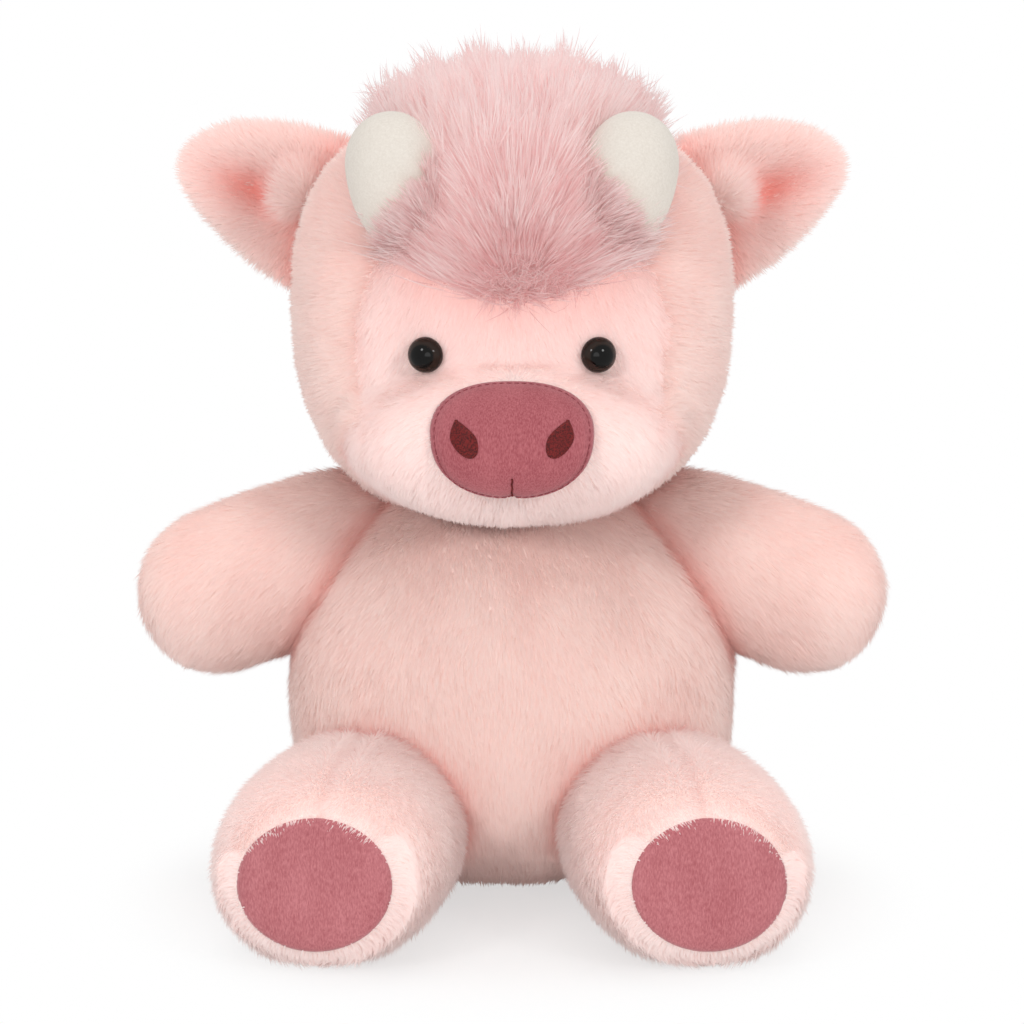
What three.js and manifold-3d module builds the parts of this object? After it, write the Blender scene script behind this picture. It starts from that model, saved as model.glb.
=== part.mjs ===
// A seated plush highland cow: pile-fabric panels over stuffing, with limbs, ears and a tail sewn on.
// Millimetres, +Z up, facing -Y, with the flat of its seat at the origin. Left is the toy's own left, +X.

import * as THREE from 'three';
import { mergeVertices } from 'three/addons/utils/BufferGeometryUtils.js';
import Module from 'manifold-3d';

const wasm = await Module();
wasm.setup();

// Fabric and fits
const SKIN = 4;                    // pile fabric, its backing and its fur together
const SEAM_GAP = 0.4;              // between panels, stuffing and trim that touch
const JOINT_GAP = 0.7;             // between a limb and what it is sewn to
const MERGE = 1e-3;                // points closer than this are one point
const COARSE = 0.6;                // facets inside the head, as a share of those outside

// Body bag
const BODY_RADIUS = 81;            // at the belly
const BELLY_HEIGHT = 66;           // the widest ring above the floor
const BODY_TOP = 152;              // top of the dome that the head is sewn over
const SEAT_SINK = 2;               // how much of the round underside is pressed flat
const SEAT_PANEL_RADIUS = 50;
const SIDE_SEAM_Y = 8;
const BEAN_BAG_RADIUS = 44;
const BEAN_BAG_HEIGHT = 30;

// Head bag, measured from the head's centre
const HEAD_HALF_WIDTH = 78;
const HEAD_FRONT = 70;
const HEAD_BACK = 68;
const HEAD_UP = 72;
const HEAD_DOWN = 78;
const HEAD_FORWARD = 2;            // how far the head's centre is in front of the body's axis
const HEAD_SEAT = 25;              // how far the head comes down over the body's dome
const MUZZLE_HALF_WIDTH = 60;
const MUZZLE_HALF_HEIGHT = 34.5;
const MUZZLE_DEPTH = 51;           // from the muzzle's own centre to its front
const MUZZLE_FORWARD = 40;
const MUZZLE_DROP = 39.5;
const MUZZLE_SEAM_HALF_WIDTH = 58;
const MUZZLE_SEAM_HALF_HEIGHT = 35;
const MUZZLE_SEAM_DROP = 50;
const MUZZLE_SEAM_BEHIND = 30;     // the seam ends this far in front of the head's centre
const FACE_HALF_WIDTH = 52;        // of the face panel at eye height
const CROWN_HALF_WIDTH = 28;       // of the face and back panels at the crown
const NAPE_HALF_WIDTH = 24;
const CROWN_SEAM_BACK = 4;         // the seam over the crown is this far behind the head's centre
const FACE_LOW = 38;               // below the head's centre, where the face panel meets the muzzle
const FACE_LOW_HALF_WIDTH = 49;
const FACE_CROWN_DROP = 18;        // below the crown, where the face panel stops narrowing

// Face
const EYE_SPACING = 59;
const EYE_DROP = 11;               // below the head's centre
const EYE_RADIUS = 6;
const EYE_DOME = 4.6;
const EYE_SINK = 1.5;              // how deep the eye's rim sits in the pile
const SHANK_RADIUS = 2.2;
const SHANK_LENGTH = 15;
const WASHER_RADIUS = 7;
const WASHER_THICKNESS = 1.6;
const WASHER_CLEARANCE = 1;        // from the backing to the washer
const NOSE_HALF_WIDTH = 27;
const NOSE_HALF_HEIGHT = 19.5;
const NOSE_DROP = 38;
const NOSE_THICKNESS = 2.6;
const NOSTRIL_SPACING = 31;
const NOSTRIL_HALF_WIDTH = 4.4;
const NOSTRIL_HALF_HEIGHT = 6.4;
const NOSTRIL_RISE = 1.5;          // above the middle of the nose pad
const NOSTRIL_TILT = 22;
const NOSTRIL_TAPER = 0.45;        // share of its width lost at the pointed end
const EMBROIDERY = 0.9;            // height of the satin stitch
const MOUTH_STITCH_LENGTH = 8.5;
const MOUTH_STITCH_WIDTH = 1.4;
const MOUTH_STITCH_RISE = 6.4;     // of its middle above the pad's lower edge

// Forelock, horns and ears, measured from the head's centre
const FORELOCK_HALF_WIDTH = 62;
const FORELOCK_HALF_DEPTH = 66;
const FORELOCK_UP = 55;
const FORELOCK_DOWN = 46;
const FORELOCK_FORWARD = 10;
const FORELOCK_RISE = 35;
const HORN_RADIUS = 16;
const HORN_LENGTH = 48;            // root to tip
const HORN_TIP_LENGTH = 19.2;      // from its widest ring to the tip
const HORN_SKIN = 1.6;
const HORN_SPACING = 80;
const HORN_RISE = 24;              // of the horn's root
const HORN_SINK = 8;               // how far the root starts behind the pile
const HORN_SPLAY = 7;              // how far it leans out
const HORN_NOD = 4;                // how far it leans forward
const EAR_LENGTH = 54;
const EAR_HALF_WIDTH = 29;
const EAR_LAYER = 5;               // thickness of the lining and of the back
const EAR_ROUND = 1.8;
const EAR_RISE = 33.5;
const EAR_LIFT = 22;               // how far the ear points up
const EAR_BACK = 8;
const EAR_ROOT_SINK = 7;           // how far the straight root lies behind the side of the head
const EAR_CUP = 7;                 // how far the rim curls forward

// Arms
const ARM_RADIUS = 31;
const HAND_LENGTH = 34;            // from the widest ring to the tip
const ARM_ROOT_LENGTH = 75;        // from the widest ring back into the body
const ARM_OUT = 101;
const ARM_HEIGHT = 103;
const ARM_BACK = 2;
const ARM_DROOP = 20.6;
const SHOULDER_HEIGHT = 139;       // of the seam that the arm lifts about

// Legs
const LEG_RADIUS = 40;
const LEG_HALF_HEIGHT = 35;         // where it is widest, settled under its own weight
const LEG_TOE_LENGTH = 62;         // from the widest ring to where the toe would close
const LEG_SOLE_LENGTH = 56;        // from the widest ring to the flat sole
const LEG_ROOT_LENGTH = 62;        // from the widest ring back into the body
const SOLE_OUT = 64;
const SOLE_REACH = 146;            // in front of the body's axis
const SOLE_HEIGHT = 31;
const LEG_SPLAY = 8;
const LEG_DROOP = 1;
const FOOT_PAD_HALF_WIDTH = 26;
const FOOT_PAD_HALF_HEIGHT = 22.5;
const FOOT_PAD_THICKNESS = 3;
const HIP_OUT = 52;
const HIP_HEIGHT = 66;             // of the crease that the leg lifts about

// Tail
const TAIL_HEIGHT = 56;            // of its root on the back
const TAIL_RADIUS = 7;
const TAIL_LENGTH = 42;
const TAIL_DROOP = 50;
const TAIL_ROOT_GAP = 1.2;
const TAIL_TUFT_RADIUS = 13;
const TAIL_TUFT_ABOVE = 15.3;      // from the tail's end up along the tube
const TAIL_TUFT_BELOW = 18.7;

// How far the seams let each limb move, in degrees
const HEAD_TURN = 20;
const ARM_LIFT = 35;
const LEG_LIFT = 25;
const EAR_FOLD_BACK = 15;
const EAR_FOLD_FORWARD = 25;
const TAIL_WAG = 25;

// How square each form is: 2 is round, more is fuller
const BODY_FULL = { below: 2.4, above: 2.1 };
const HEAD_FULL = { flat: 2.2, tall: 2.6 };
const ROUND = { flat: 2, tall: 2 };
const FORELOCK_FULL = { flat: 2, tall: 2.8 };
const ARM_FULL = { below: 3, above: 2.2 };
const LEG_FULL = { below: 2.4, above: 3.6 };
const HORN_FULL = { below: 2, above: 2.1 };
const OVAL = { below: 2, above: 2 };
const BEAN_BAG_FULL = { below: 3, above: 2 };
const TAIL_FULL = { below: 4, above: 6 };
const NOSE_FULL = 2.5;

const FAR = 400;                   // reach of the blocks that halve and trim a form
const UP = new THREE.Vector3(0, 0, 1);
const degrees = THREE.MathUtils.degToRad;

function material(color, roughness, metalness = 0) {
  return new THREE.MeshStandardMaterial({ color, roughness, metalness });
}
const pinkPile = () => material(0xf3cfc8, 0.95);
const palePile = () => material(0xf6ddd6, 0.95);
const roseHair = () => material(0xdfa3a2, 0.9);
const earLining = () => material(0xe9a196, 0.95);
const ivoryVelboa = () => material(0xece2d8, 0.9);
const roseSuede = () => material(0xb56a70, 0.9);
const maroonThread = () => material(0x641d1d, 0.6);
const eyePlastic = () => material(0x16100e, 0.08);
const washerPlastic = () => material(0xe8e6e0, 0.5);
const fibre = () => material(0xf7f5f2, 1);
const beanCloth = () => material(0xe6e0d4, 0.9);

// A closed three.js geometry as a solid that can be joined and cut
function solid(geometry) {
  const bare = geometry.clone();
  bare.deleteAttribute('normal');
  bare.deleteAttribute('uv');
  const merged = mergeVertices(bare, MERGE);
  const corners = merged.index.array;
  const triVerts = [];
  for (let i = 0; i < corners.length; i += 3) {
    const [a, b, c] = [corners[i], corners[i + 1], corners[i + 2]];
    if (a !== b && b !== c && c !== a) triVerts.push(a, b, c);
  }
  const mesh = new wasm.Mesh({
    numProp: 3,
    vertProperties: new Float32Array(merged.attributes.position.array),
    triVerts: new Uint32Array(triVerts),
  });
  return new wasm.Manifold(mesh);
}

function geometryOf(body) {
  const mesh = body.getMesh();
  const geometry = new THREE.BufferGeometry();
  geometry.setAttribute('position', new THREE.BufferAttribute(mesh.vertProperties, 3));
  geometry.setIndex(new THREE.BufferAttribute(mesh.triVerts, 1));
  geometry.computeVertexNormals();
  return geometry;
}

// The same piece on the toy's right side, with its faces still pointing out
function mirrored(geometry) {
  const copy = geometry.clone().scale(-1, 1, 1);
  const corners = copy.index.array;
  for (let i = 0; i < corners.length; i += 3) {
    const first = corners[i];
    corners[i] = corners[i + 1];
    corners[i + 1] = first;
  }
  copy.computeVertexNormals();
  return copy;
}

const cut = (body, ...cutters) => cutters.reduce((left, cutter) => left.subtract(cutter), body);

// A block that fills space on the far side of a plane through a point
function beyond(point, normal) {
  const block = new THREE.BoxGeometry(FAR * 2, FAR * 2, FAR * 2).translate(0, 0, FAR);
  const turn = new THREE.Quaternion().setFromUnitVectors(UP, normal.clone().normalize());
  return solid(block.applyQuaternion(turn).translate(point.x, point.y, point.z));
}

const side = (axis, from, sign) => {
  const normal = new THREE.Vector3();
  normal[axis] = sign;
  return beyond(normal.clone().multiplyScalar(from * sign), normal);
};

const aboveFloor = side('z', 0, 1);
const leftHalf = side('x', SEAM_GAP / 2, 1);
const rightHalf = side('x', -SEAM_GAP / 2, -1);

// An egg turned about +Z with its widest ring at the origin; grow moves its whole surface out
function egg({ radius, below, above, full }, grow, sides, rings) {
  const profile = [];
  for (let i = 0; i <= rings; i += 1) {
    const angle = Math.PI * (i / rings - 0.5);
    const upper = angle > 0;
    const power = 2 / (upper ? full.above : full.below);
    const atPole = i === 0 || i === rings;
    const r = atPole ? 0 : (radius + grow) * Math.cos(angle) ** power;
    const reach = (upper ? above : -below) + Math.sign(angle) * grow;
    profile.push(new THREE.Vector2(r, reach * Math.abs(Math.sin(angle)) ** power));
  }
  return new THREE.LatheGeometry(profile, sides).rotateX(Math.PI / 2);
}

// A soft box-like ball whose front, back, top and bottom reach differently from its centre
function ball({ centre, halfWidth, front, back, up, down, full }, grow, sides, rings) {
  const geometry = new THREE.SphereGeometry(1, sides, rings).rotateX(Math.PI / 2);
  const points = geometry.attributes.position;
  for (let i = 0; i < points.count; i += 1) {
    const way = new THREE.Vector3().fromBufferAttribute(points, i);
    const reach = new THREE.Vector3(halfWidth, way.y < 0 ? front : back, way.z < 0 ? down : up);
    reach.addScalar(grow);
    const around = (Math.abs(way.x) ** full.flat + Math.abs(way.y) ** full.flat) ** (full.tall / full.flat);
    const scale = (around + Math.abs(way.z) ** full.tall) ** (-1 / full.tall);
    way.multiplyScalar(scale).multiply(reach).add(centre);
    points.setXYZ(i, way.x, way.y, way.z);
  }
  return geometry;
}

// The front of such a ball at a place seen from the front, or null beside it
function ballFront({ centre, halfWidth, front, up, down, full }, x, z) {
  const tall = Math.abs((z - centre.z) / (z < centre.z ? down : up)) ** full.tall;
  const wide = Math.abs((x - centre.x) / halfWidth) ** full.flat;
  const left = Math.max(0, 1 - tall) ** (full.flat / full.tall) - wide;
  return left > 0 ? centre.y - front * left ** (1 / full.flat) : null;
}

// Body bag
const BODY = {
  radius: BODY_RADIUS,
  below: BELLY_HEIGHT + SEAT_SINK,
  above: BODY_TOP - BELLY_HEIGHT,
  full: BODY_FULL,
};

function bodyForm(grow, sides = 28, rings = 14) {
  return egg(BODY, grow, sides, rings).translate(0, 0, BELLY_HEIGHT);
}

function bodyRadiusAt(z) {
  const upper = z > BELLY_HEIGHT;
  const power = upper ? BODY_FULL.above : BODY_FULL.below;
  const share = Math.abs(z - BELLY_HEIGHT) / (upper ? BODY.above : BODY.below);
  return BODY_RADIUS * Math.max(0, 1 - share ** power) ** (1 / power);
}

function bodyPieces() {
  const hollow = solid(bodyForm(-SKIN, 16, 9)).intersect(side('z', SKIN, 1));
  const shell = cut(solid(bodyForm(0)).intersect(aboveFloor), hollow);
  const seatDisc = (grow) => {
    const radius = SEAT_PANEL_RADIUS + grow;
    return solid(new THREE.CylinderGeometry(radius, radius, BELLY_HEIGHT, 28).rotateX(Math.PI / 2));
  };
  const bag = shell.subtract(seatDisc(SEAM_GAP / 2));
  const back = bag.intersect(side('y', SIDE_SEAM_Y + SEAM_GAP / 2, 1));
  const half = BEAN_BAG_HEIGHT / 2;
  const beans = { radius: BEAN_BAG_RADIUS, below: half, above: half, full: BEAN_BAG_FULL };
  const seatTop = SKIN + SEAM_GAP;
  const beanBag = (grow) => egg(beans, grow, 14, 6).translate(0, 0, seatTop + half);
  const inside = solid(bodyForm(-SKIN - SEAM_GAP, 16, 9));
  const filling = inside.intersect(side('z', seatTop, 1));
  const well = new THREE.CylinderGeometry(BEAN_BAG_RADIUS, BEAN_BAG_RADIUS, BEAN_BAG_HEIGHT, 14);
  const bagWell = solid(well.rotateX(Math.PI / 2));
  return {
    body_front_panel: [bag.intersect(side('y', SIDE_SEAM_Y - SEAM_GAP / 2, -1)), pinkPile()],
    body_back_left_panel: [back.intersect(leftHalf), pinkPile()],
    body_back_right_panel: [back.intersect(rightHalf), pinkPile()],
    seat_panel: [shell.intersect(seatDisc(-SEAM_GAP / 2)), pinkPile()],
    body_stuffing: [cut(filling, solid(beanBag(SEAM_GAP)), bagWell), fibre()],
    bean_bag: [solid(beanBag(0)).intersect(inside), beanCloth()],
  };
}

// Head bag
const HEAD_CENTRE = new THREE.Vector3(0, -HEAD_FORWARD, BODY_TOP - HEAD_SEAT + HEAD_DOWN);
const HEAD = {
  centre: HEAD_CENTRE,
  halfWidth: HEAD_HALF_WIDTH,
  front: HEAD_FRONT,
  back: HEAD_BACK,
  up: HEAD_UP,
  down: HEAD_DOWN,
  full: HEAD_FULL,
};
const MUZZLE = {
  centre: HEAD_CENTRE.clone().add(new THREE.Vector3(0, -MUZZLE_FORWARD, -MUZZLE_DROP)),
  halfWidth: MUZZLE_HALF_WIDTH,
  front: MUZZLE_DEPTH,
  back: MUZZLE_DEPTH,
  up: MUZZLE_HALF_HEIGHT,
  down: MUZZLE_HALF_HEIGHT,
  full: ROUND,
};

function headForm(grow, fine = 1, placing = new THREE.Matrix4()) {
  const skull = ball(HEAD, grow, Math.round(26 * fine), Math.round(16 * fine)).applyMatrix4(placing);
  const muzzle = ball(MUZZLE, grow, Math.round(20 * fine), Math.round(10 * fine)).applyMatrix4(placing);
  return solid(skull).add(solid(muzzle));
}

function headFrontAt(x, z) {
  const fronts = [ballFront(HEAD, x, z), ballFront(MUZZLE, x, z)].filter((y) => y !== null);
  return Math.min(...fronts);
}

// A front-view outline driven through the head along Y, from one Y to another
function throughHead(shape, fromY, toY) {
  const length = toY - fromY;
  const block = new THREE.ExtrudeGeometry(shape, { depth: length, bevelEnabled: false, curveSegments: 8 });
  return solid(block.rotateX(Math.PI / 2).translate(0, toY, 0));
}

// A strip with mirrored edges, from half widths at heights, the lowest first
function stripShape(edge, grow) {
  const corners = edge.map(([half, z]) => new THREE.Vector2(half + grow, z));
  const right = new THREE.SplineCurve(corners).getPoints(6);
  const left = right.map((p) => new THREE.Vector2(-p.x, p.y)).reverse();
  return new THREE.Shape([...right, ...left]);
}

const headTopZ = HEAD_CENTRE.z + HEAD_UP;
const crownSeamY = HEAD_CENTRE.y + CROWN_SEAM_BACK;

function muzzleOutline(grow) {
  const shape = new THREE.Shape();
  const [halfWidth, halfHeight] = [MUZZLE_SEAM_HALF_WIDTH + grow, MUZZLE_SEAM_HALF_HEIGHT + grow];
  shape.absellipse(0, HEAD_CENTRE.z - MUZZLE_SEAM_DROP, halfWidth, halfHeight, 0, Math.PI * 2);
  return throughHead(shape, -FAR, HEAD_CENTRE.y - MUZZLE_SEAM_BEHIND + grow);
}

function faceOutline(grow) {
  const edge = [
    [FACE_LOW_HALF_WIDTH, HEAD_CENTRE.z - FACE_LOW],
    [FACE_HALF_WIDTH, HEAD_CENTRE.z],
    [CROWN_HALF_WIDTH, headTopZ - FACE_CROWN_DROP],
    [CROWN_HALF_WIDTH, headTopZ + SKIN],
  ];
  return throughHead(stripShape(edge, grow), -FAR, crownSeamY + grow);
}

function napeOutline(grow) {
  const edge = [
    [NAPE_HALF_WIDTH, HEAD_CENTRE.z - HEAD_DOWN - SKIN],
    [CROWN_HALF_WIDTH, headTopZ + SKIN],
  ];
  return throughHead(stripShape(edge, grow), crownSeamY - grow, FAR);
}

function swing(pivot, axis, angle) {
  const turn = new THREE.Matrix4().makeRotationAxis(axis, degrees(angle));
  const away = new THREE.Matrix4().makeTranslation(pivot.x, pivot.y, pivot.z);
  const home = new THREE.Matrix4().makeTranslation(-pivot.x, -pivot.y, -pivot.z);
  return away.multiply(turn).multiply(home);
}

const NECK = new THREE.Vector3(0, 0, BODY_TOP - HEAD_SEAT);
const eyePlaces = placeOnHead(EYE_SPACING / 2, HEAD_CENTRE.z - EYE_DROP);

// A place on the left half of the head's front, with the way straight out of the surface
function placeOnHead(x, z) {
  const step = 0.5;
  const point = new THREE.Vector3(x, headFrontAt(x, z), z);
  const slopeX = (headFrontAt(x + step, z) - headFrontAt(x - step, z)) / (2 * step);
  const slopeZ = (headFrontAt(x, z + step) - headFrontAt(x, z - step)) / (2 * step);
  return { point, out: new THREE.Vector3(slopeX, -1, slopeZ).normalize() };
}

// Turns and moves what is built along +Z from the origin to a place
function standOn(geometry, { point, out }, height = 0) {
  const turn = new THREE.Quaternion().setFromUnitVectors(UP, out);
  const foot = point.clone().addScaledVector(out, height);
  return geometry.applyQuaternion(turn).translate(foot.x, foot.y, foot.z);
}

function turned(profile, sides) {
  const points = profile.map(([r, z]) => new THREE.Vector2(r, z));
  return new THREE.LatheGeometry(points, sides).rotateX(Math.PI / 2);
}

// Safety eye: a dome on a shank, and the washer that locks it behind the fabric
function eyeForm(grow) {
  const dome = [0, 1, 2, 3, 4].map((i) => {
    const angle = (i / 4) * (Math.PI / 2);
    const radius = i === 4 ? 0 : (EYE_RADIUS + grow) * Math.cos(angle);
    return [radius, (EYE_DOME + grow) * Math.sin(angle)];
  });
  const shank = SHANK_RADIUS + grow;
  const end = -SHANK_LENGTH - grow;
  const profile = [[0, end], [shank, end], [shank, -grow], [EYE_RADIUS + grow, -grow], ...dome];
  return standOn(turned(profile, 14), eyePlaces, -EYE_SINK);
}

function washerForm(grow) {
  const bore = SHANK_RADIUS + SEAM_GAP - grow / 2;
  const outer = WASHER_RADIUS + grow;
  const top = WASHER_THICKNESS + grow;
  const profile = [[bore, -grow], [outer, -grow], [outer, top], [bore, top], [bore, -grow]];
  return standOn(turned(profile, 14), eyePlaces, -SKIN - WASHER_CLEARANCE - WASHER_THICKNESS);
}

const onBothSides = (geometry) => solid(geometry).add(solid(mirrored(geometry)));

function headPieces() {
  const neck = solid(bodyForm(JOINT_GAP));
  const eyeWells = onBothSides(eyeForm(SEAM_GAP));
  const washerWells = onBothSides(washerForm(SEAM_GAP));
  const shell = cut(headForm(0), headForm(-SKIN, COARSE), neck, eyeWells, washerWells);
  const aroundMuzzle = shell.subtract(muzzleOutline(SEAM_GAP / 2));
  const sides = cut(aroundMuzzle, faceOutline(SEAM_GAP / 2), napeOutline(SEAM_GAP / 2));
  const filling = headForm(-SKIN - SEAM_GAP, COARSE);
  return {
    face_panel: [aroundMuzzle.intersect(faceOutline(-SEAM_GAP / 2)), palePile()],
    muzzle_panel: [shell.intersect(muzzleOutline(-SEAM_GAP / 2)), palePile()],
    head_back_panel: [aroundMuzzle.intersect(napeOutline(-SEAM_GAP / 2)), pinkPile()],
    head_left_panel: [sides.intersect(leftHalf), pinkPile()],
    head_right_panel: [sides.intersect(rightHalf), pinkPile()],
    head_stuffing: [cut(filling, neck, eyeWells, washerWells), fibre()],
  };
}

// Nose pad, nostrils and mouth line: thin cushions laid on the muzzle one over the other
const NOSE_Z = HEAD_CENTRE.z - NOSE_DROP;

function nosePadHeight(x, z) {
  const across = Math.abs(x / NOSE_HALF_WIDTH) ** NOSE_FULL;
  const up = Math.abs((z - NOSE_Z) / NOSE_HALF_HEIGHT) ** NOSE_FULL;
  return NOSE_THICKNESS * Math.sqrt(Math.max(0, 1 - across - up));
}

const noseSurface = (x, z) => headFrontAt(x, z) - SEAM_GAP;
const nosePadFront = (x, z) => noseSurface(x, z) - nosePadHeight(x, z) - SEAM_GAP;

// outline(across, up) maps the unit disc to a place; height(share) is the cushion's height there
function cushionOn(surface, outline, height, sides, rings) {
  const geometry = new THREE.SphereGeometry(1, sides, rings);
  const points = geometry.attributes.position;
  for (let i = 0; i < points.count; i += 1) {
    const [across, thick, up] = [points.getX(i), points.getY(i), points.getZ(i)];
    const { x, y: z } = outline(across, up);
    const lift = thick > 0 ? 0 : height(Math.hypot(across, up));
    points.setXYZ(i, x, surface(x, z) - lift, z);
  }
  return solid(geometry);
}

const crowned = (thickness) => (share) => thickness * Math.sqrt(Math.max(0, 1 - share * share));

function roundedOval(across, up) {
  const share = Math.hypot(across, up);
  const full = (Math.abs(across) ** NOSE_FULL + Math.abs(up) ** NOSE_FULL) ** (1 / NOSE_FULL);
  const scale = full > 0 ? share / full : 0;
  return new THREE.Vector2(across * scale * NOSE_HALF_WIDTH, up * scale * NOSE_HALF_HEIGHT);
}

function nostrilOutline(across, up) {
  const narrowing = 1 - NOSTRIL_TAPER * Math.max(0, up);
  const drop = new THREE.Vector2(across * narrowing * NOSTRIL_HALF_WIDTH, up * NOSTRIL_HALF_HEIGHT);
  drop.rotateAround(new THREE.Vector2(), degrees(-NOSTRIL_TILT));
  return drop.add(new THREE.Vector2(NOSTRIL_SPACING / 2, NOSE_Z + NOSTRIL_RISE));
}

function facePieces() {
  const padOutline = (across, up) => roundedOval(across, up).add(new THREE.Vector2(0, NOSE_Z));
  const padHeight = (share) => NOSE_THICKNESS * Math.sqrt(Math.max(0, 1 - share ** NOSE_FULL));
  const stitchZ = NOSE_Z - NOSE_HALF_HEIGHT + MOUTH_STITCH_RISE;
  const stitchOutline = (across, up) => {
    return new THREE.Vector2((across * MOUTH_STITCH_WIDTH) / 2, stitchZ + (up * MOUTH_STITCH_LENGTH) / 2);
  };
  const nostril = cushionOn(nosePadFront, nostrilOutline, crowned(EMBROIDERY), 10, 5);
  const eye = solid(eyeForm(0));
  const washer = solid(washerForm(0));
  return {
    nose_pad: [cushionOn(noseSurface, padOutline, padHeight, 20, 8), roseSuede()],
    mouth_stitch: [cushionOn(nosePadFront, stitchOutline, crowned(EMBROIDERY), 8, 4), maroonThread()],
    ...pair('nostril', nostril, maroonThread),
    ...pair('eye', eye, eyePlastic),
    ...pair('eye_washer', washer, washerPlastic),
  };
}

// A left piece and its mirror image, as name_left and name_right with what follows
function pair(name, left, finish, rest = '') {
  const right = solid(mirrored(geometryOf(left)));
  return { [`${name}_left${rest}`]: [left, finish()], [`${name}_right${rest}`]: [right, finish()] };
}

// Horns and forelock
const HORN = {
  radius: HORN_RADIUS,
  below: HORN_LENGTH - HORN_TIP_LENGTH,
  above: HORN_TIP_LENGTH,
  full: HORN_FULL,
};

function hornForm(grow) {
  const root = placeOnHead(HORN_SPACING / 2, HEAD_CENTRE.z + HORN_RISE);
  const out = new THREE.Vector3(Math.tan(degrees(HORN_SPLAY)), -Math.tan(degrees(HORN_NOD)), 1).normalize();
  const start = root.point.clone().addScaledVector(root.out, -HORN_SINK);
  return standOn(egg(HORN, grow, 12, 8), { point: start, out }, HORN.below);
}

const FORELOCK = {
  centre: HEAD_CENTRE.clone().add(new THREE.Vector3(0, -FORELOCK_FORWARD, FORELOCK_RISE)),
  halfWidth: FORELOCK_HALF_WIDTH,
  front: FORELOCK_HALF_DEPTH,
  back: FORELOCK_HALF_DEPTH,
  up: FORELOCK_UP,
  down: FORELOCK_DOWN,
  full: FORELOCK_FULL,
};
const forelockForm = (grow) => ball(FORELOCK, grow, 24, 14);

function hornPieces() {
  const scalp = headForm(SEAM_GAP);
  const horn = cut(solid(hornForm(0)), solid(hornForm(-HORN_SKIN)), scalp);
  const filling = cut(solid(hornForm(-HORN_SKIN - SEAM_GAP)), scalp);
  const forelock = cut(solid(forelockForm(0)), scalp, onBothSides(hornForm(SEAM_GAP)));
  return {
    forelock: [forelock, roseHair()],
    ...pair('horn', horn, ivoryVelboa),
    ...pair('horn', filling, fibre, '_stuffing'),
  };
}

// Ears: a lining and a back, both cupped forward, on a straight root that they fold about
const earOut = new THREE.Vector3(Math.cos(degrees(EAR_LIFT)), 0, Math.sin(degrees(EAR_LIFT)));
const EAR_AXIS = new THREE.Vector3(-earOut.z, 0, earOut.x);
const EAR_ROOT = earRoot();

function earRoot() {
  const height = Math.abs(EAR_RISE / HEAD_UP) ** HEAD_FULL.tall;
  const halfWidth = HEAD_HALF_WIDTH * (1 - height) ** (1 / HEAD_FULL.tall);
  const root = new THREE.Vector3(halfWidth, EAR_BACK + HEAD_CENTRE.y, HEAD_CENTRE.z + EAR_RISE);
  return root.addScaledVector(earOut, -EAR_ROOT_SINK);
}

function earLayer(nearFront) {
  const outline = new THREE.Shape();
  outline.absellipse(0, 0, EAR_LENGTH - EAR_ROUND, EAR_HALF_WIDTH - EAR_ROUND, -Math.PI / 2, Math.PI / 2);
  const round = { bevelThickness: EAR_ROUND, bevelSize: EAR_ROUND, bevelSegments: 1, curveSegments: 10 };
  const layer = new THREE.ExtrudeGeometry(outline, { depth: EAR_LAYER - 2 * EAR_ROUND, ...round });
  layer.translate(0, 0, EAR_ROUND + (nearFront ? SEAM_GAP / 2 : -SEAM_GAP / 2 - EAR_LAYER));
  const points = layer.attributes.position;
  for (let i = 0; i < points.count; i += 1) {
    const across = points.getY(i) / EAR_HALF_WIDTH;
    points.setZ(i, points.getZ(i) + EAR_CUP * across * across);
  }
  const front = new THREE.Vector3(0, -1, 0);
  const frame = new THREE.Matrix4().makeBasis(earOut, EAR_AXIS, front);
  return solid(layer.applyMatrix4(frame.setPosition(EAR_ROOT)));
}

function earPieces(name) {
  const folds = [-EAR_FOLD_BACK, 0, EAR_FOLD_FORWARD];
  const around = folds.flatMap((angle) => {
    const fold = swing(EAR_ROOT, EAR_AXIS, angle);
    return [headForm(JOINT_GAP, 1, fold), solid(forelockForm(JOINT_GAP).applyMatrix4(fold))];
  });
  const lining = cut(earLayer(true), ...around);
  const back = cut(earLayer(false), ...around);
  return { lining: pair(name, lining, earLining, '_lining'), back: pair(name, back, pinkPile, '_back') };
}

// Arms
const ARM = { radius: ARM_RADIUS, below: ARM_ROOT_LENGTH, above: HAND_LENGTH, full: ARM_FULL };
const ARM_PLACE = {
  point: new THREE.Vector3(ARM_OUT, ARM_BACK, ARM_HEIGHT),
  out: new THREE.Vector3(Math.cos(degrees(ARM_DROOP)), 0, -Math.sin(degrees(ARM_DROOP))),
};
const SHOULDER = new THREE.Vector3(bodyRadiusAt(SHOULDER_HEIGHT), ARM_BACK, SHOULDER_HEIGHT);
const SHOULDER_AXIS = new THREE.Vector3(0, -1, 0);

// What an arm stays clear of at rest and lifted, with the head looking ahead or to either side
function aroundArm() {
  const cutters = [];
  for (const lift of [0, ARM_LIFT]) {
    const lower = swing(SHOULDER, SHOULDER_AXIS, -lift);
    cutters.push(solid(bodyForm(JOINT_GAP).applyMatrix4(lower)));
    for (const turn of [-HEAD_TURN, 0, HEAD_TURN]) {
      cutters.push(headForm(JOINT_GAP, 1, lower.clone().multiply(swing(NECK, UP, turn))));
    }
  }
  return cutters;
}

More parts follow.
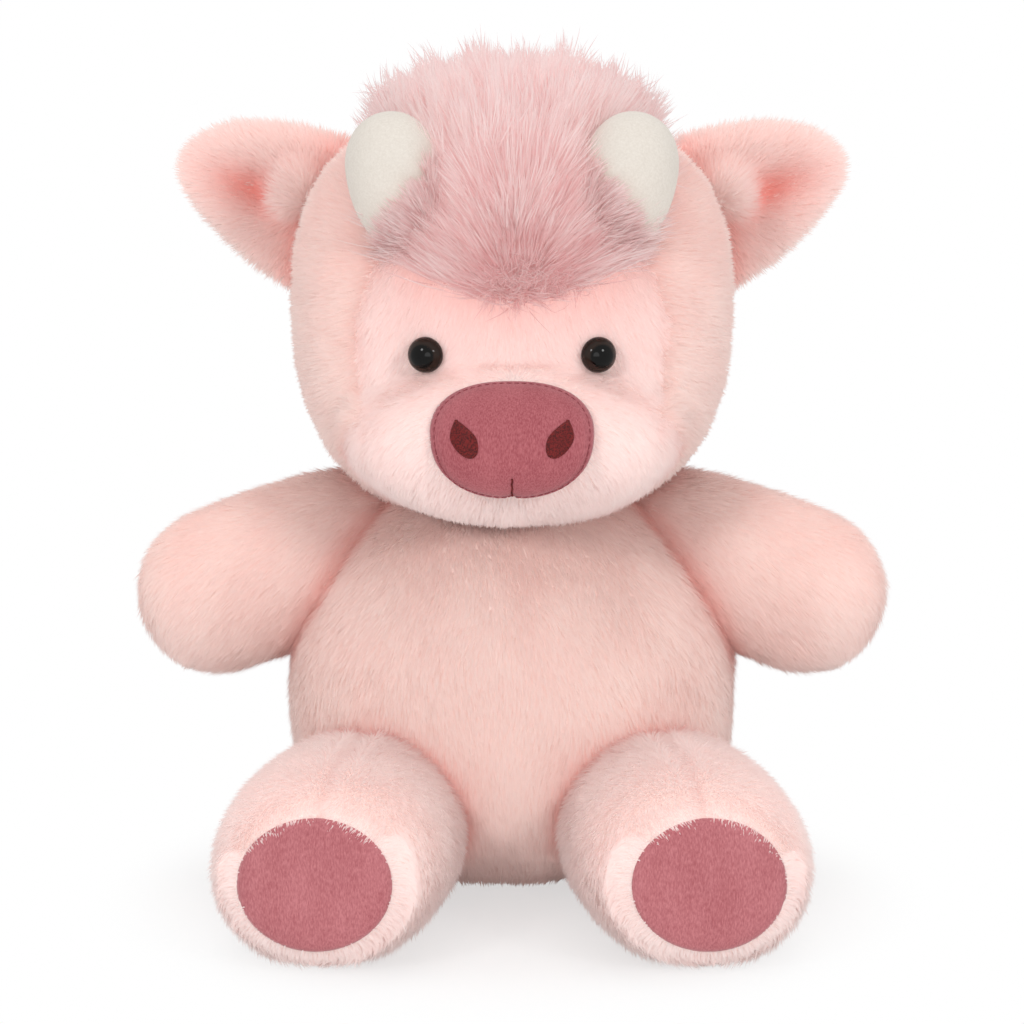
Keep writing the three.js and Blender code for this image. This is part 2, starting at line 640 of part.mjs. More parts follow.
function armPieces() {
  const form = (grow, sides, rings) => solid(standOn(egg(ARM, grow, sides, rings), ARM_PLACE));
  const around = aroundArm();
  const sleeve = cut(form(0, 18, 12), form(-SKIN, 12, 8), ...around);
  const filling = cut(form(-SKIN - SEAM_GAP, 12, 8), ...around);
  return {
    ...pair('arm', sleeve.intersect(side('y', ARM_BACK - SEAM_GAP / 2, -1)), pinkPile, '_front_panel'),
    ...pair('arm', sleeve.intersect(side('y', ARM_BACK + SEAM_GAP / 2, 1)), pinkPile, '_back_panel'),
    ...pair('arm', filling, fibre, '_stuffing'),
  };
}

// Legs
const legOut = new THREE.Vector3(
  Math.sin(degrees(LEG_SPLAY)) * Math.cos(degrees(LEG_DROOP)),
  -Math.cos(degrees(LEG_SPLAY)) * Math.cos(degrees(LEG_DROOP)),
  -Math.sin(degrees(LEG_DROOP)),
);
const SOLE = { point: new THREE.Vector3(SOLE_OUT, -SOLE_REACH, SOLE_HEIGHT), out: legOut };
const LEG = { radius: LEG_RADIUS, below: LEG_ROOT_LENGTH, above: LEG_TOE_LENGTH, full: LEG_FULL };
const hipForward = Math.sqrt(bodyRadiusAt(HIP_HEIGHT) ** 2 - HIP_OUT ** 2);
const HIP = new THREE.Vector3(HIP_OUT, -hipForward, HIP_HEIGHT);
const HIP_AXIS = new THREE.Vector3(-Math.cos(degrees(LEG_SPLAY)), -Math.sin(degrees(LEG_SPLAY)), 0);

function legForm(grow, sides, rings) {
  const settled = (LEG_HALF_HEIGHT + grow) / (LEG_RADIUS + grow);
  const form = egg(LEG, grow, sides, rings).scale(1, settled, 1);
  const tube = solid(standOn(form, SOLE, -LEG_SOLE_LENGTH));
  const solePlane = beyond(SOLE.point.clone().addScaledVector(legOut, grow), legOut);
  return cut(tube, solePlane).intersect(side('z', -grow, 1));
}

function footPadForm(grow, from, to) {
  const outline = new THREE.Shape();
  outline.absellipse(0, 0, FOOT_PAD_HALF_WIDTH + grow, FOOT_PAD_HALF_HEIGHT + grow, 0, Math.PI * 2);
  const straight = { depth: to - from, bevelEnabled: false, curveSegments: 10 };
  return solid(standOn(new THREE.ExtrudeGeometry(outline, straight).translate(0, 0, from), SOLE));
}

function legPieces() {
  const bodies = [0, LEG_LIFT].map((lift) => {
    const lower = swing(HIP, HIP_AXIS, -lift);
    return solid(bodyForm(JOINT_GAP).applyMatrix4(lower));
  });
  const opening = footPadForm(SEAM_GAP, -2 * SKIN, SKIN);
  const tube = cut(legForm(0, 20, 12), legForm(-SKIN, 12, 8), opening, ...bodies);
  const filling = cut(legForm(-SKIN - SEAM_GAP, 12, 8), ...bodies);
  const pad = footPadForm(0, -FOOT_PAD_THICKNESS, 0);
  return {
    ...pair('leg', tube, pinkPile, '_tube'),
    ...pair('leg', filling, fibre, '_stuffing'),
    ...pair('foot_pad', pad, roseSuede),
  };
}

// Tail
const TAIL_ROOT = new THREE.Vector3(0, bodyRadiusAt(TAIL_HEIGHT) + TAIL_ROOT_GAP, TAIL_HEIGHT);
const TAIL_PLACE = {
  point: TAIL_ROOT,
  out: new THREE.Vector3(0, Math.cos(degrees(TAIL_DROOP)), -Math.sin(degrees(TAIL_DROOP))),
};

function tailPieces() {
  const half = TAIL_LENGTH / 2;
  const tube = { radius: TAIL_RADIUS, below: half, above: half, full: TAIL_FULL };
  const tuft = { radius: TAIL_TUFT_RADIUS, below: TAIL_TUFT_ABOVE, above: TAIL_TUFT_BELOW, full: OVAL };
  const tubeForm = (grow) => solid(standOn(egg(tube, grow, 10, 8), TAIL_PLACE, half));
  const tuftForm = solid(standOn(egg(tuft, 0, 12, 8), TAIL_PLACE, TAIL_LENGTH));
  const backs = [-TAIL_WAG, 0, TAIL_WAG].map((angle) => {
    const wag = swing(TAIL_ROOT, UP, angle);
    return solid(bodyForm(JOINT_GAP).applyMatrix4(wag));
  });
  return {
    tail_tube: [cut(tubeForm(0), ...backs), pinkPile()],
    tail_tuft: [cut(tuftForm, tubeForm(SEAM_GAP)), roseHair()],
  };
}

// Adds pieces, modelled where they sit on the toy, to a group placed at the point it moves about
function fill(group, pieces) {
  const origin = new THREE.Vector3();
  group.updateWorldMatrix(true, false);
  group.getWorldPosition(origin);
  for (const [name, [body, finish]] of Object.entries(pieces)) {
    const mesh = new THREE.Mesh(geometryOf(body).translate(-origin.x, -origin.y, -origin.z), finish);
    mesh.name = name;
    group.add(mesh);
  }
}

function groupAt(parent, point) {
  const group = new THREE.Group();
  parent.add(group);
  group.position.copy(parent.worldToLocal(point.clone()));
  group.updateWorldMatrix(true, false);
  return group;
}

const mirrorPoint = (point) => new THREE.Vector3(-point.x, point.y, point.z);

function onSide(pieces, word) {
  return Object.fromEntries(Object.entries(pieces).filter(([name]) => name.includes(word)));
}

const cow = new THREE.Group();
fill(cow, bodyPieces());
const head = groupAt(cow, NECK);
fill(head, { ...headPieces(), ...facePieces(), ...hornPieces() });
const ears = earPieces('ear');
const limbs = [
  { parent: head, pivot: EAR_ROOT, pieces: { ...ears.lining, ...ears.back } },
  { parent: cow, pivot: SHOULDER, pieces: armPieces() },
  { parent: cow, pivot: HIP, pieces: legPieces() },
];
for (const { parent, pivot, pieces } of limbs) {
  fill(groupAt(parent, pivot), onSide(pieces, '_left'));
  fill(groupAt(parent, mirrorPoint(pivot)), onSide(pieces, '_right'));
}
fill(groupAt(cow, TAIL_ROOT), tailPieces());

export default cow;
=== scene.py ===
"""A seated plush highland cow in pink pile fabric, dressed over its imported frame."""
import math

import bpy
import numpy as np
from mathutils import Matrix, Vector


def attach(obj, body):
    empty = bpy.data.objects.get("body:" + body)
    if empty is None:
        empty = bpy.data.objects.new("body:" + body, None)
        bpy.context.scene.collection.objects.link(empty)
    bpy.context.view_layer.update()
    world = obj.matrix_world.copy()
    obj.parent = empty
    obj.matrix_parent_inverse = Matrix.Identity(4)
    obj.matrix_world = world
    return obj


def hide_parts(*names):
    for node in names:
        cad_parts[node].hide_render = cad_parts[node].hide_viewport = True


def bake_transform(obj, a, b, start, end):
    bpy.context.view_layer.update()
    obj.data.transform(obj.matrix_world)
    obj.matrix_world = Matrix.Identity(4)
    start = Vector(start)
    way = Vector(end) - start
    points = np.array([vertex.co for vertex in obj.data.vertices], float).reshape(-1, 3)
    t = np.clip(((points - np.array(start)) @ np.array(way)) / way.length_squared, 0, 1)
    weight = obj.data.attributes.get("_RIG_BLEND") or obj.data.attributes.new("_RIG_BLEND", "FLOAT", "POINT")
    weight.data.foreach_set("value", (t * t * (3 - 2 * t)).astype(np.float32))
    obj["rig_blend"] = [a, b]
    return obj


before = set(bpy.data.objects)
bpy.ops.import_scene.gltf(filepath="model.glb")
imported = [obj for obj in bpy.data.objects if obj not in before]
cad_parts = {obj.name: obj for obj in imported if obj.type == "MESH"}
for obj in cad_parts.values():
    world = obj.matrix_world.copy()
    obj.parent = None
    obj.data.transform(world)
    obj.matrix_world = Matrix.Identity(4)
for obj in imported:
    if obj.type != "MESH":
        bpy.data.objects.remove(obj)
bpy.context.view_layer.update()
scene = bpy.context.scene

MM = 0.001
SIDES = {"left": 1, "right": -1}
FLIP = np.array([-1.0, 1.0, 1.0])
DOWN = (0, 0, -1)
FAR = 99                   # a distance where there is no seam or eye to measure from
PILE_ROOT = 3.0            # the cloth lies this far under the outside of the pile
CLOTH_FLOOR, LEG_FLOOR = 1.0, 1.2
PLUMP_CAP = 3.0            # no point of a bag moves further than this when it is filled

# Forms of the toy, in millimetres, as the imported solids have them; the tail alone starts deeper
BODY = dict(centre=(0, 0, 66), out=(0, 0, 1), radius=81, below=68, above=86, full=(2.4, 2.1))
HEAD = dict(centre=(0, -2, 205), wide=78, front=70, back=68, up=72, down=78, flat=2.2, tall=2.6)
MUZZLE = dict(centre=(0, -42, 165.5), wide=60, front=51, back=51, up=34.5, down=34.5, flat=2, tall=2)
MUZZLE_BLEND = 16.0
FORELOCK = dict(centre=(0, -12, 240), wide=62, front=66, back=66, up=55, down=46, flat=2, tall=2.8)
ARM_DROOP = math.radians(20.6)
ARM = dict(centre=(101, 2, 103), out=(math.cos(ARM_DROOP), 0, -math.sin(ARM_DROOP)),
           radius=31, below=75, above=34, full=(3.0, 2.2))
SHOULDER = np.array([45.0, 2.0, 139.0])
LEG_SPLAY, LEG_DROOP = math.radians(8), math.radians(1)
LEG_OUT = np.array([math.sin(LEG_SPLAY) * math.cos(LEG_DROOP),
                    -math.cos(LEG_SPLAY) * math.cos(LEG_DROOP), -math.sin(LEG_DROOP)])
SOLE, SOLE_AHEAD = np.array([64.0, -146.0, 31.0]), 56
LEG = dict(centre=tuple(SOLE - SOLE_AHEAD * LEG_OUT), out=tuple(LEG_OUT),
           radius=40, tall=35, below=62, above=62, full=(2.4, 3.6))
HIP = np.array([52.0, -61.7, 45.0])
PAD_WIDE, PAD_TALL = 25.6, 22.2
TAIL_DROOP = math.radians(50)
TAIL_OUT = np.array([0, math.cos(TAIL_DROOP), -math.sin(TAIL_DROOP)])
TAIL_ROOT = np.array([0, 81.86, 56.0])
TAIL = dict(centre=tuple(TAIL_ROOT + 21 * TAIL_OUT), out=tuple(TAIL_OUT),
            radius=7, below=35, above=21, full=(4, 6))
TUFT = dict(centre=tuple(TAIL_ROOT + 42 * TAIL_OUT), out=tuple(TAIL_OUT),
            radius=13, below=15.3, above=18.7, full=(2, 2))
HORN_SINK, HORN_X, HORN_Z = 8, 40, 229
HORN = dict(out=(math.tan(math.radians(7)), -math.tan(math.radians(4)), 1),
            radius=16, below=28.8, above=19.2, full=(2.0, 2.1))
NOSE_Z, NOSE_WIDE, NOSE_TALL, NOSE_FULL = 167.5, 28.4, 21.2, 2.35
NOSE_PAD_WIDE, NOSE_PAD_TALL, NOSE_STITCH = NOSE_WIDE - 0.6, NOSE_TALL - 0.8, 0.925
EYE_X, EYE_Z, EYE_RADIUS, EYE_RISE, EYE_SINK = 29.5, 194, 6.15, 5.0, 1.6
EAR_LIFT = math.radians(22)
EAR_ROOT = np.array([67.219, 6.0, 235.878])
EAR_FRAME = np.array([[math.cos(EAR_LIFT), 0, math.sin(EAR_LIFT)],
                      [-math.sin(EAR_LIFT), 0, math.cos(EAR_LIFT)],
                      [0, -1, 0]])
EAR_LENGTH, EAR_HEEL, EAR_WIDE, EAR_THICK, EAR_CUP = 51.0, 10, 26.0, 5.2, 8.0
KNOT = np.array([4.5, -79.0, 219.0])
BROW_X, BROW_Z, BROW_WIDE, BROW_TALL, BROW_FRONT = 2.0, 240.0, 41.0, 28.0, -20
# Where the bend of a sewn joint starts and ends, along the limb from its root
EAR_BEND, ARM_BEND, LEG_BEND, TAIL_BEND = (-4, 14), (8, 62), (0, 40), (0, 14)

# Seams: where the panels of the body and the head meet
BODY_SIDE_Y, HEAD_SIDE_Y, MUZZLE_BACK_Y = 8, 2, -30
FACE_EDGE = ([150, 167, 205, 240, 259, 281], [46, 49, 52, 40, 28, 28])
NAPE_EDGE = ([127, 277], [24, 28])
MUZZLE_SEAM_Z, MUZZLE_SEAM_WIDE, MUZZLE_SEAM_TALL = 155, 58, 35

# How strands lie: the shortest one's share, the lean along the comb, how far they stray,
# the fineness and pull of their locks, and the spread of their tone
SHORT_PILE = dict(shortest=0.65, lean=1.5, stray=0.35, lock_scale=90.0, lock_pull=0.9, tone_spread=0.1)
LEG_PILE = {**SHORT_PILE, "lean": 1.2, "stray": 0.4}
EAR_PILE = {**SHORT_PILE, "lean": 1.3, "stray": 0.4}
LONG_HAIR = dict(shortest=0.5, lean=1.4, stray=0.28, lock_scale=120.0, lock_pull=3.0, tone_spread=0.55)
BROW_HAIR = dict(shortest=0.5, lean=1.1, stray=0.35, lock_scale=190.0, lock_pull=1.6, tone_spread=0.5)
KNOT_HAIR = dict(shortest=0.5, lean=0.9, stray=0.9, lock_scale=260.0, lock_pull=2.4, tone_spread=0.5)
HORN_HAIR = dict(shortest=0.5, lean=2.2, stray=0.35, lock_scale=190.0, lock_pull=1.4, tone_spread=0.55)
TUFT_HAIR = dict(shortest=0.55, lean=2.2, stray=0.4, lock_scale=200.0, lock_pull=1.2, tone_spread=0.35)
MARKS = ("comb", "cover", "pile", "tone")
SWATCH_LOW, SWATCH_HIGH = 0.02, 0.96      # strands keep to this part of their colour map
STRAND_FLOOR = 0.2 * MM
STUFFING = dict(quality=4, mass=0.3, tension_stiffness=12, compression_stiffness=12, bending_stiffness=0.4,
                use_pressure=True, uniform_pressure_force=4.0, vertex_group_mass="sewn")
STUFFING_FRAMES = 20


def unit(v):
    """Rows, or one row, scaled to length one."""
    v = np.asarray(v, float)
    return v / np.maximum(np.linalg.norm(v, axis=-1, keepdims=True), 1e-9)


def ramp(values, start, span, low=0.0, high=1.0):
    """0 at start and 1 a span further on, kept between low and high; a negative span goes the other way."""
    return np.clip((values - start) / span, low, high)


def near(distance, reach):
    """1 at a contact, falling to 0 away from it."""
    return np.exp(-np.maximum(distance, 0) / reach)


def groove(distance, width=2.4):
    """1 on a seam, falling to 0 beside it."""
    return np.exp(-(distance / width) ** 2)


def outside_share(distance, depth=7.0):
    """1 outside a form or just inside it, 0 deeper."""
    return ramp(distance, -depth, 2.0)


def along_skin(way, normals):
    """A direction laid into the surface."""
    way = np.broadcast_to(np.asarray(way, float), normals.shape)
    return unit(way - normals * (way * normals).sum(1, keepdims=True))


def smooth_noise(points, size, seed):
    """A soft random value from about -1 to 1 at each point, that changes over a given size."""
    rng = np.random.default_rng(seed)
    total = np.zeros(len(points))
    for _ in range(6):
        way = rng.normal(size=3)
        way *= 2 * math.pi / size / np.linalg.norm(way)
        total += np.sin(points @ way + rng.uniform(0, 2 * math.pi))
    return total / 3.5


def turn_to(out):
    """Rotation that takes +Z to a direction, as rows of numbers."""
    turn = Vector((0, 0, 1)).rotation_difference(Vector(unit(out)))
    return np.array(turn.to_matrix())


def mirror(form):
    """The same form on the toy's right side."""
    return {**form, **{key: tuple(np.array(form[key]) * FLIP) for key in ("centre", "out")}}


def even_ball(n):
    """Directions and quads of a ball of six even patches, n by n quads each."""
    ticks = np.tan(np.linspace(-math.pi / 4, math.pi / 4, n + 1))
    u, v = np.meshgrid(ticks, ticks, indexing="ij")
    one = np.ones_like(u)
    sides = [(one, u, v), (-one, v, u), (v, one, u), (u, -one, v), (u, v, one), (v, u, -one)]
    grid = np.arange((n + 1) ** 2).reshape(n + 1, n + 1)
    patch = np.stack([grid[:-1, :-1], grid[1:, :-1], grid[1:, 1:], grid[:-1, 1:]], -1).reshape(-1, 4)
    ways = unit(np.concatenate([np.stack(s, -1).reshape(-1, 3) for s in sides]))
    quads = np.concatenate([patch + i * (n + 1) ** 2 for i in range(6)])
    _, first, home = np.unique(ways.round(6), axis=0, return_index=True, return_inverse=True)
    return ways[first], home.reshape(-1)[quads]


def egg_halves(form, height):
    """Fullness and reach of an egg's half above its widest ring, or below it."""
    below, above = form["full"]
    return np.where(height > 0, above, below), np.where(height > 0, form["above"], form["below"])


def egg(form, ways, grow=0.0):
    """Points of an egg turned about its own axis, for directions from its widest ring."""
    full, reach = egg_halves(form, ways[:, 2])
    round_ = np.hypot(ways[:, 0], ways[:, 1])
    share = (round_ ** full + np.abs(ways[:, 2]) ** full) ** (-1 / full)
    radius, tall = form["radius"] + grow, form.get("tall", form["radius"]) + grow
    local = np.stack([ways[:, 0] * radius, ways[:, 1] * tall, ways[:, 2] * (reach + grow)], -1)
    return local * share[:, None] @ turn_to(form["out"]).T + np.array(form["centre"])


def past(share, local):
    """About how far points lie outside a form, from how many times its reach they are out."""
    return (1 - 1 / np.maximum(share, 1e-6)) * np.linalg.norm(local, axis=1)


def egg_distance(form, points):
    """About how far points lie outside an egg, in millimetres; inside is negative."""
    local = (points - np.array(form["centre"])) @ turn_to(form["out"])
    full, reach = egg_halves(form, local[:, 2])
    round_ = np.hypot(local[:, 0] / form["radius"], local[:, 1] / form.get("tall", form["radius"]))
    return past((round_ ** full + np.abs(local[:, 2] / reach) ** full) ** (1 / full), local)


def ball_reach(form, ways, grow=0.0):
    """Reach of a ball along each axis, on the side that directions point to."""
    return grow + np.stack([
        np.full(len(ways), form["wide"]),
        np.where(ways[:, 1] < 0, form["front"], form["back"]),
        np.where(ways[:, 2] < 0, form["down"], form["up"]),
    ], -1)


def ball_share(form, scaled, power):
    """How many times a ball's reach points are out, to a power."""
    x, y, z = (np.abs(scaled[:, k]) for k in range(3))
    flat, tall = form["flat"], form["tall"]
    return ((x ** flat + y ** flat) ** (tall / flat) + z ** tall) ** (power / tall)


def ball(form, ways, grow=0.0):
    """Points of a soft box-like ball, for directions from its centre."""
    share = ball_share(form, ways, -1)
    return ways * share[:, None] * ball_reach(form, ways, grow) + np.array(form["centre"])


def ball_distance(form, points):
    """About how far points lie outside a ball, in millimetres; inside is negative."""
    local = points - np.array(form["centre"])
    return past(ball_share(form, local / ball_reach(form, local), 1), local)


def head_distance(p):
    return np.minimum(ball_distance(HEAD, p), ball_distance(MUZZLE, p))


def head_points(ways, grow):
    """The skull with the muzzle grown smoothly out of its lower front."""
    centre = np.array(HEAD["centre"], float)
    skull = ball(HEAD, ways, grow) - centre
    close = np.linalg.norm(skull, axis=1)
    aim = unit(skull)
    reach = np.array([MUZZLE["wide"], MUZZLE["front"], MUZZLE["up"]]) + grow
    start = (centre - np.array(MUZZLE["centre"])) / reach
    step = aim / reach
    a, b, c = (step ** 2).sum(1), step @ start, start @ start - 1
    inside = b * b - a * c
    far = np.where(inside > 0, (-b + np.sqrt(np.maximum(inside, 0))) / a, 0)
    mix = np.clip(0.5 + 0.5 * (far - close) / MUZZLE_BLEND, 0, 1)
    length = close + (far - close) * mix + MUZZLE_BLEND * mix * (1 - mix) * 0.5
    return aim * length[:, None] + centre


def add_object(name, data):
    obj = bpy.data.objects.new(name, data)
    scene.collection.objects.link(obj)
    return obj


def new_object(name, points, faces=(), edges=(), finish=None):
    """A smooth mesh object from millimetre points."""
    mesh = bpy.data.meshes.new(name)
    faces = faces.tolist() if isinstance(faces, np.ndarray) else faces
    mesh.from_pydata((np.asarray(points) * MM).tolist(), edges, faces)
    mesh.shade_smooth()
    if finish:
        mesh.materials.append(finish)
    return add_object(name, mesh)


def rows_of(collection, field):
    rows = np.empty(len(collection) * 3, np.float32)
    collection.foreach_get(field, rows)
    return rows.reshape(-1, 3).astype(float)


def points_of(obj):
    return rows_of(obj.data.vertices, "co") / MM


def surface_of(obj):
    """Points of a mesh and the directions straight out of it there."""
    return points_of(obj), rows_of(obj.data.vertex_normals, "vector")


def corners_of(obj):
    corners = np.empty(len(obj.data.loops), np.int32)
    obj.data.loops.foreach_get("vertex_index", corners)
    return corners


def quads_of(obj):
    return corners_of(obj).reshape(-1, 4)


def set_points(obj, points):
    obj.data.vertices.foreach_set("co", (points * MM).astype(np.float32).ravel())
    obj.data.update()


def write_attribute(mesh, name, values):
    kind, field = ("FLOAT_VECTOR", "vector") if values.ndim == 2 else ("FLOAT", "value")
    attribute = mesh.attributes.new(name, kind, "POINT")
    attribute.data.foreach_set(field, values.astype(np.float32).ravel())


def feed(node, inputs):
    """Sets inputs of a node, or links them where the value is a flow."""
    for key, value in inputs.items():
        if isinstance(value, Flow):
            value.tree.links.new(value.socket, node.inputs[key])
        else:
            node.inputs[key].default_value = value


class Flow:
    """A socket in a node tree; sums on it add the nodes that work them out."""

    def __init__(self, tree, socket=None):
        self.tree = tree
        self.socket = socket

    def node(self, kind, settings=None, inputs=None, output=0):
        made = self.tree.nodes.new(kind)
        for name, value in (settings or {}).items():
            setattr(made, name, value)
        feed(made, inputs or {})
        return Flow(self.tree, made.outputs[output])

    def beside(self, output):
        """Another output of the node that this one comes from."""
        return Flow(self.tree, self.socket.node.outputs[output])

    def maths(self, operation, *values):
        return self.node("ShaderNodeMath", {"operation": operation}, dict(enumerate(values)))

    def vector(self, operation, *values):
        return self.node("ShaderNodeVectorMath", {"operation": operation}, dict(enumerate(values)))

    def scaled(self, factor):
        return self.node("ShaderNodeVectorMath", {"operation": "SCALE"}, {0: self, "Scale": factor})

    def split(self):
        """The three numbers of a vector."""
        first = self.node("ShaderNodeSeparateXYZ", inputs={0: self})
        return first, first.beside(1), first.beside(2)

    def between(self, low, high):
        """A colour from low to high, by this share."""
        return self.node("ShaderNodeMix", {"data_type": "RGBA"}, {0: self, 6: low, 7: high}, 2)

    def ramped(self, stops):
        """A colour from a row of stops, by this share."""
        made = self.node("ShaderNodeValToRGB", inputs={0: self})
        elements = made.socket.node.color_ramp.elements
        while len(elements) < len(stops):
            elements.new(1.0)
        for element, (place, colour) in zip(elements, stops):
            element.position = place
            element.color = colour
        return made

    def noise(self, scale, detail, roughness=0.5):
        inputs = {"Vector": self, "Scale": scale, "Detail": detail, "Roughness": roughness}
        return self.node("ShaderNodeTexNoise", inputs=inputs)

    def smooth(self, low, high):
        """0 below low and 1 above high, with a soft step between them."""
        settings = {"interpolation_type": "SMOOTHSTEP"}
        return self.node("ShaderNodeMapRange", settings, {"Value": self, "From Min": low, "From Max": high})

    def __add__(self, other):
        return self.maths("ADD", self, other)

    def __sub__(self, other):
        return self.maths("SUBTRACT", self, other)

    def __mul__(self, other):
        return self.maths("MULTIPLY", self, other)

    __radd__ = __add__
    __rmul__ = __mul__


def linear(red, green, blue):
    """A colour given as 0 to 255 screen values, ready for a socket."""
    def step(value):
        share = value / 255
        return share / 12.92 if share <= 0.04045 else ((share + 0.055) / 1.055) ** 2.4
    return (step(red), step(green), step(blue), 1.0)


def new_material(name):
    """An empty material, its surface shader and a flow to build on."""
    material = bpy.data.materials.new(name)
    material.use_nodes = True
    tree = material.node_tree
    return material, tree.nodes["Principled BSDF"], Flow(tree)


def mix_at_end(flow, shader, factor, other, end):
    """Mixes another shader into one and ends the tree with the mix."""
    first = Flow(flow.tree, shader.outputs[0])
    mix = flow.node("ShaderNodeMixShader", inputs={0: factor, 1: first, 2: other})
    feed(flow.tree.nodes[end], {0: mix})


def pile_finish(name, deep, pale, root=0.93, through=0.89):
    """Pile: from a darker root to a paler tip along each strand, as painted shade deep in the pile, and from
    deep to pale over the piece by its tone, which holds painted shade in the creases.
    """
    material, shader, flow = new_material(name)
    deep, pale = linear(*deep), linear(*pale)
    along, tone, _ = flow.node("ShaderNodeUVMap", {"uv_map": "OFBake"}).split()
    # Painted shade: the root factor darkens each strand towards its root, standing for the shade deep in the
    # pile
    shade = np.array([root ** 0.5, root, root, 1])
    low = tone.between(*[tuple(np.array(c) * shade) for c in (deep, pale)])
    colour = along.smooth(0.0, 0.7).between(low, tone.between(deep, pale))
    feed(shader, {"Base Color": colour, "Roughness": 0.9, "Specular IOR Level": 0.12})
    lit = tuple((1 - through) * np.array(deep) + through * np.array(pale))
    glow = flow.node("ShaderNodeBsdfTranslucent", inputs={"Color": lit})
    mix_at_end(flow, shader, 0.45, glow, "Material Output")
    return material


def cloth_finish(name, low, high, grain, depth, sheen=0.15, brushed=1.0):
    """Cloth: a mottle of two colours with a fine nap, drawn out downwards where brushed is below 1."""
    material, shader, flow = new_material(name)
    place = flow.node("ShaderNodeTexCoord").beside("Object")
    place = place.vector("MULTIPLY", place, (1.0, 1.0, brushed))
    fine = place.noise(grain, 3.0, 0.6)
    mottle = fine * 0.78 + place.noise(grain / 24, 2.0) * 0.22
    nap = flow.node("ShaderNodeBump", inputs={"Strength": 0.5, "Distance": depth, "Height": fine})
    feed(shader, {"Base Color": mottle.ramped([(0.36, linear(*low)), (0.64, linear(*high))]),
                  "Normal": nap, "Roughness": 0.95, "Specular IOR Level": 0.2,
                  "Sheen Weight": sheen, "Sheen Roughness": 0.5})
    return material


def thread_finish(name, low, high):
    """Rayon thread: a twist of light and dark with a little shine."""
    material, shader, flow = new_material(name)
    twist = flow.node("ShaderNodeTexCoord").beside("Object").noise(1800.0, 2.0)
    feed(shader, {"Base Color": twist.ramped([(0.35, linear(*low)), (0.65, linear(*high))]),
                  "Roughness": 0.55, "Specular IOR Level": 0.3})
    return material


def eye_finish():
    """Black safety-eye plastic, dark brown towards the rim, with a gloss."""
    material, shader, flow = new_material("eye_gloss")
    rim, _, _ = flow.node("ShaderNodeUVMap", {"uv_map": "EyeMap"}).split()
    stops = [(0.0, linear(4, 3, 3)), (0.6, linear(6, 5, 4)),
             (0.72, linear(44, 31, 25)), (1.0, linear(28, 20, 16))]
    feed(shader, {"Base Color": rim.ramped(stops), "Roughness": 0.03, "Specular IOR Level": 0.18})
    return material


def strand_mesh(name, length, width, rings=2, bend=0.15, curl=0.0):
    """One flat strand along +Z, facing +Y, that narrows to its tip and bends towards -Y."""
    points, along, faces = [], [], []
    for ring in range(rings):
        h = ring / rings
        half = width / 2 * (1 - 0.7 * h ** 1.6)
        drop = -bend * length * h ** 2
        wave = curl * length * math.sin(5.0 * h) * h
        height = h * length * (1 - 0.35 * bend * h)
        points += [(wave + half, drop, height), (wave - half, drop, height)]
        along += [h, h]
    points.append((curl * length * math.sin(5.0), -bend * length, length * (1 - 0.35 * bend)))
    for a in range(0, 2 * rings - 2, 2):
        faces.append((a, a + 1, a + 3, a + 2))
    faces.append((2 * rings - 2, 2 * rings - 1, 2 * rings))
    obj = new_object(name, points, faces)
    write_attribute(obj.data, "along", np.array(along + [1.0]))
    write_attribute(obj.data, "across", np.array([0.0, 1.0] * rings + [0.5]))
    obj.hide_render = True
    return obj


def new_tree(name, inputs):
    """An empty geometry tree with its named inputs."""
    tree = bpy.data.node_groups.new(name, "GeometryNodeTree")
    for title, kind in inputs.items():
        tree.interface.new_socket(title, in_out="INPUT", socket_type=f"NodeSocket{kind}")
    tree.interface.new_socket("Result", in_out="OUTPUT", socket_type="NodeSocketGeometry")
    entry = tree.nodes.new("NodeGroupInput")
    return tree, Flow(tree), {title: Flow(tree, entry.outputs[title]) for title in inputs}


def end_tree(flow, geometry, finish):
    real = flow.node("GeometryNodeRealizeInstances", inputs={0: geometry})
    dressed = flow.node("GeometryNodeSetMaterial", inputs={"Geometry": real, "Material": finish})
    feed(flow.tree.nodes.new("NodeGroupOutput"), {0: dressed})


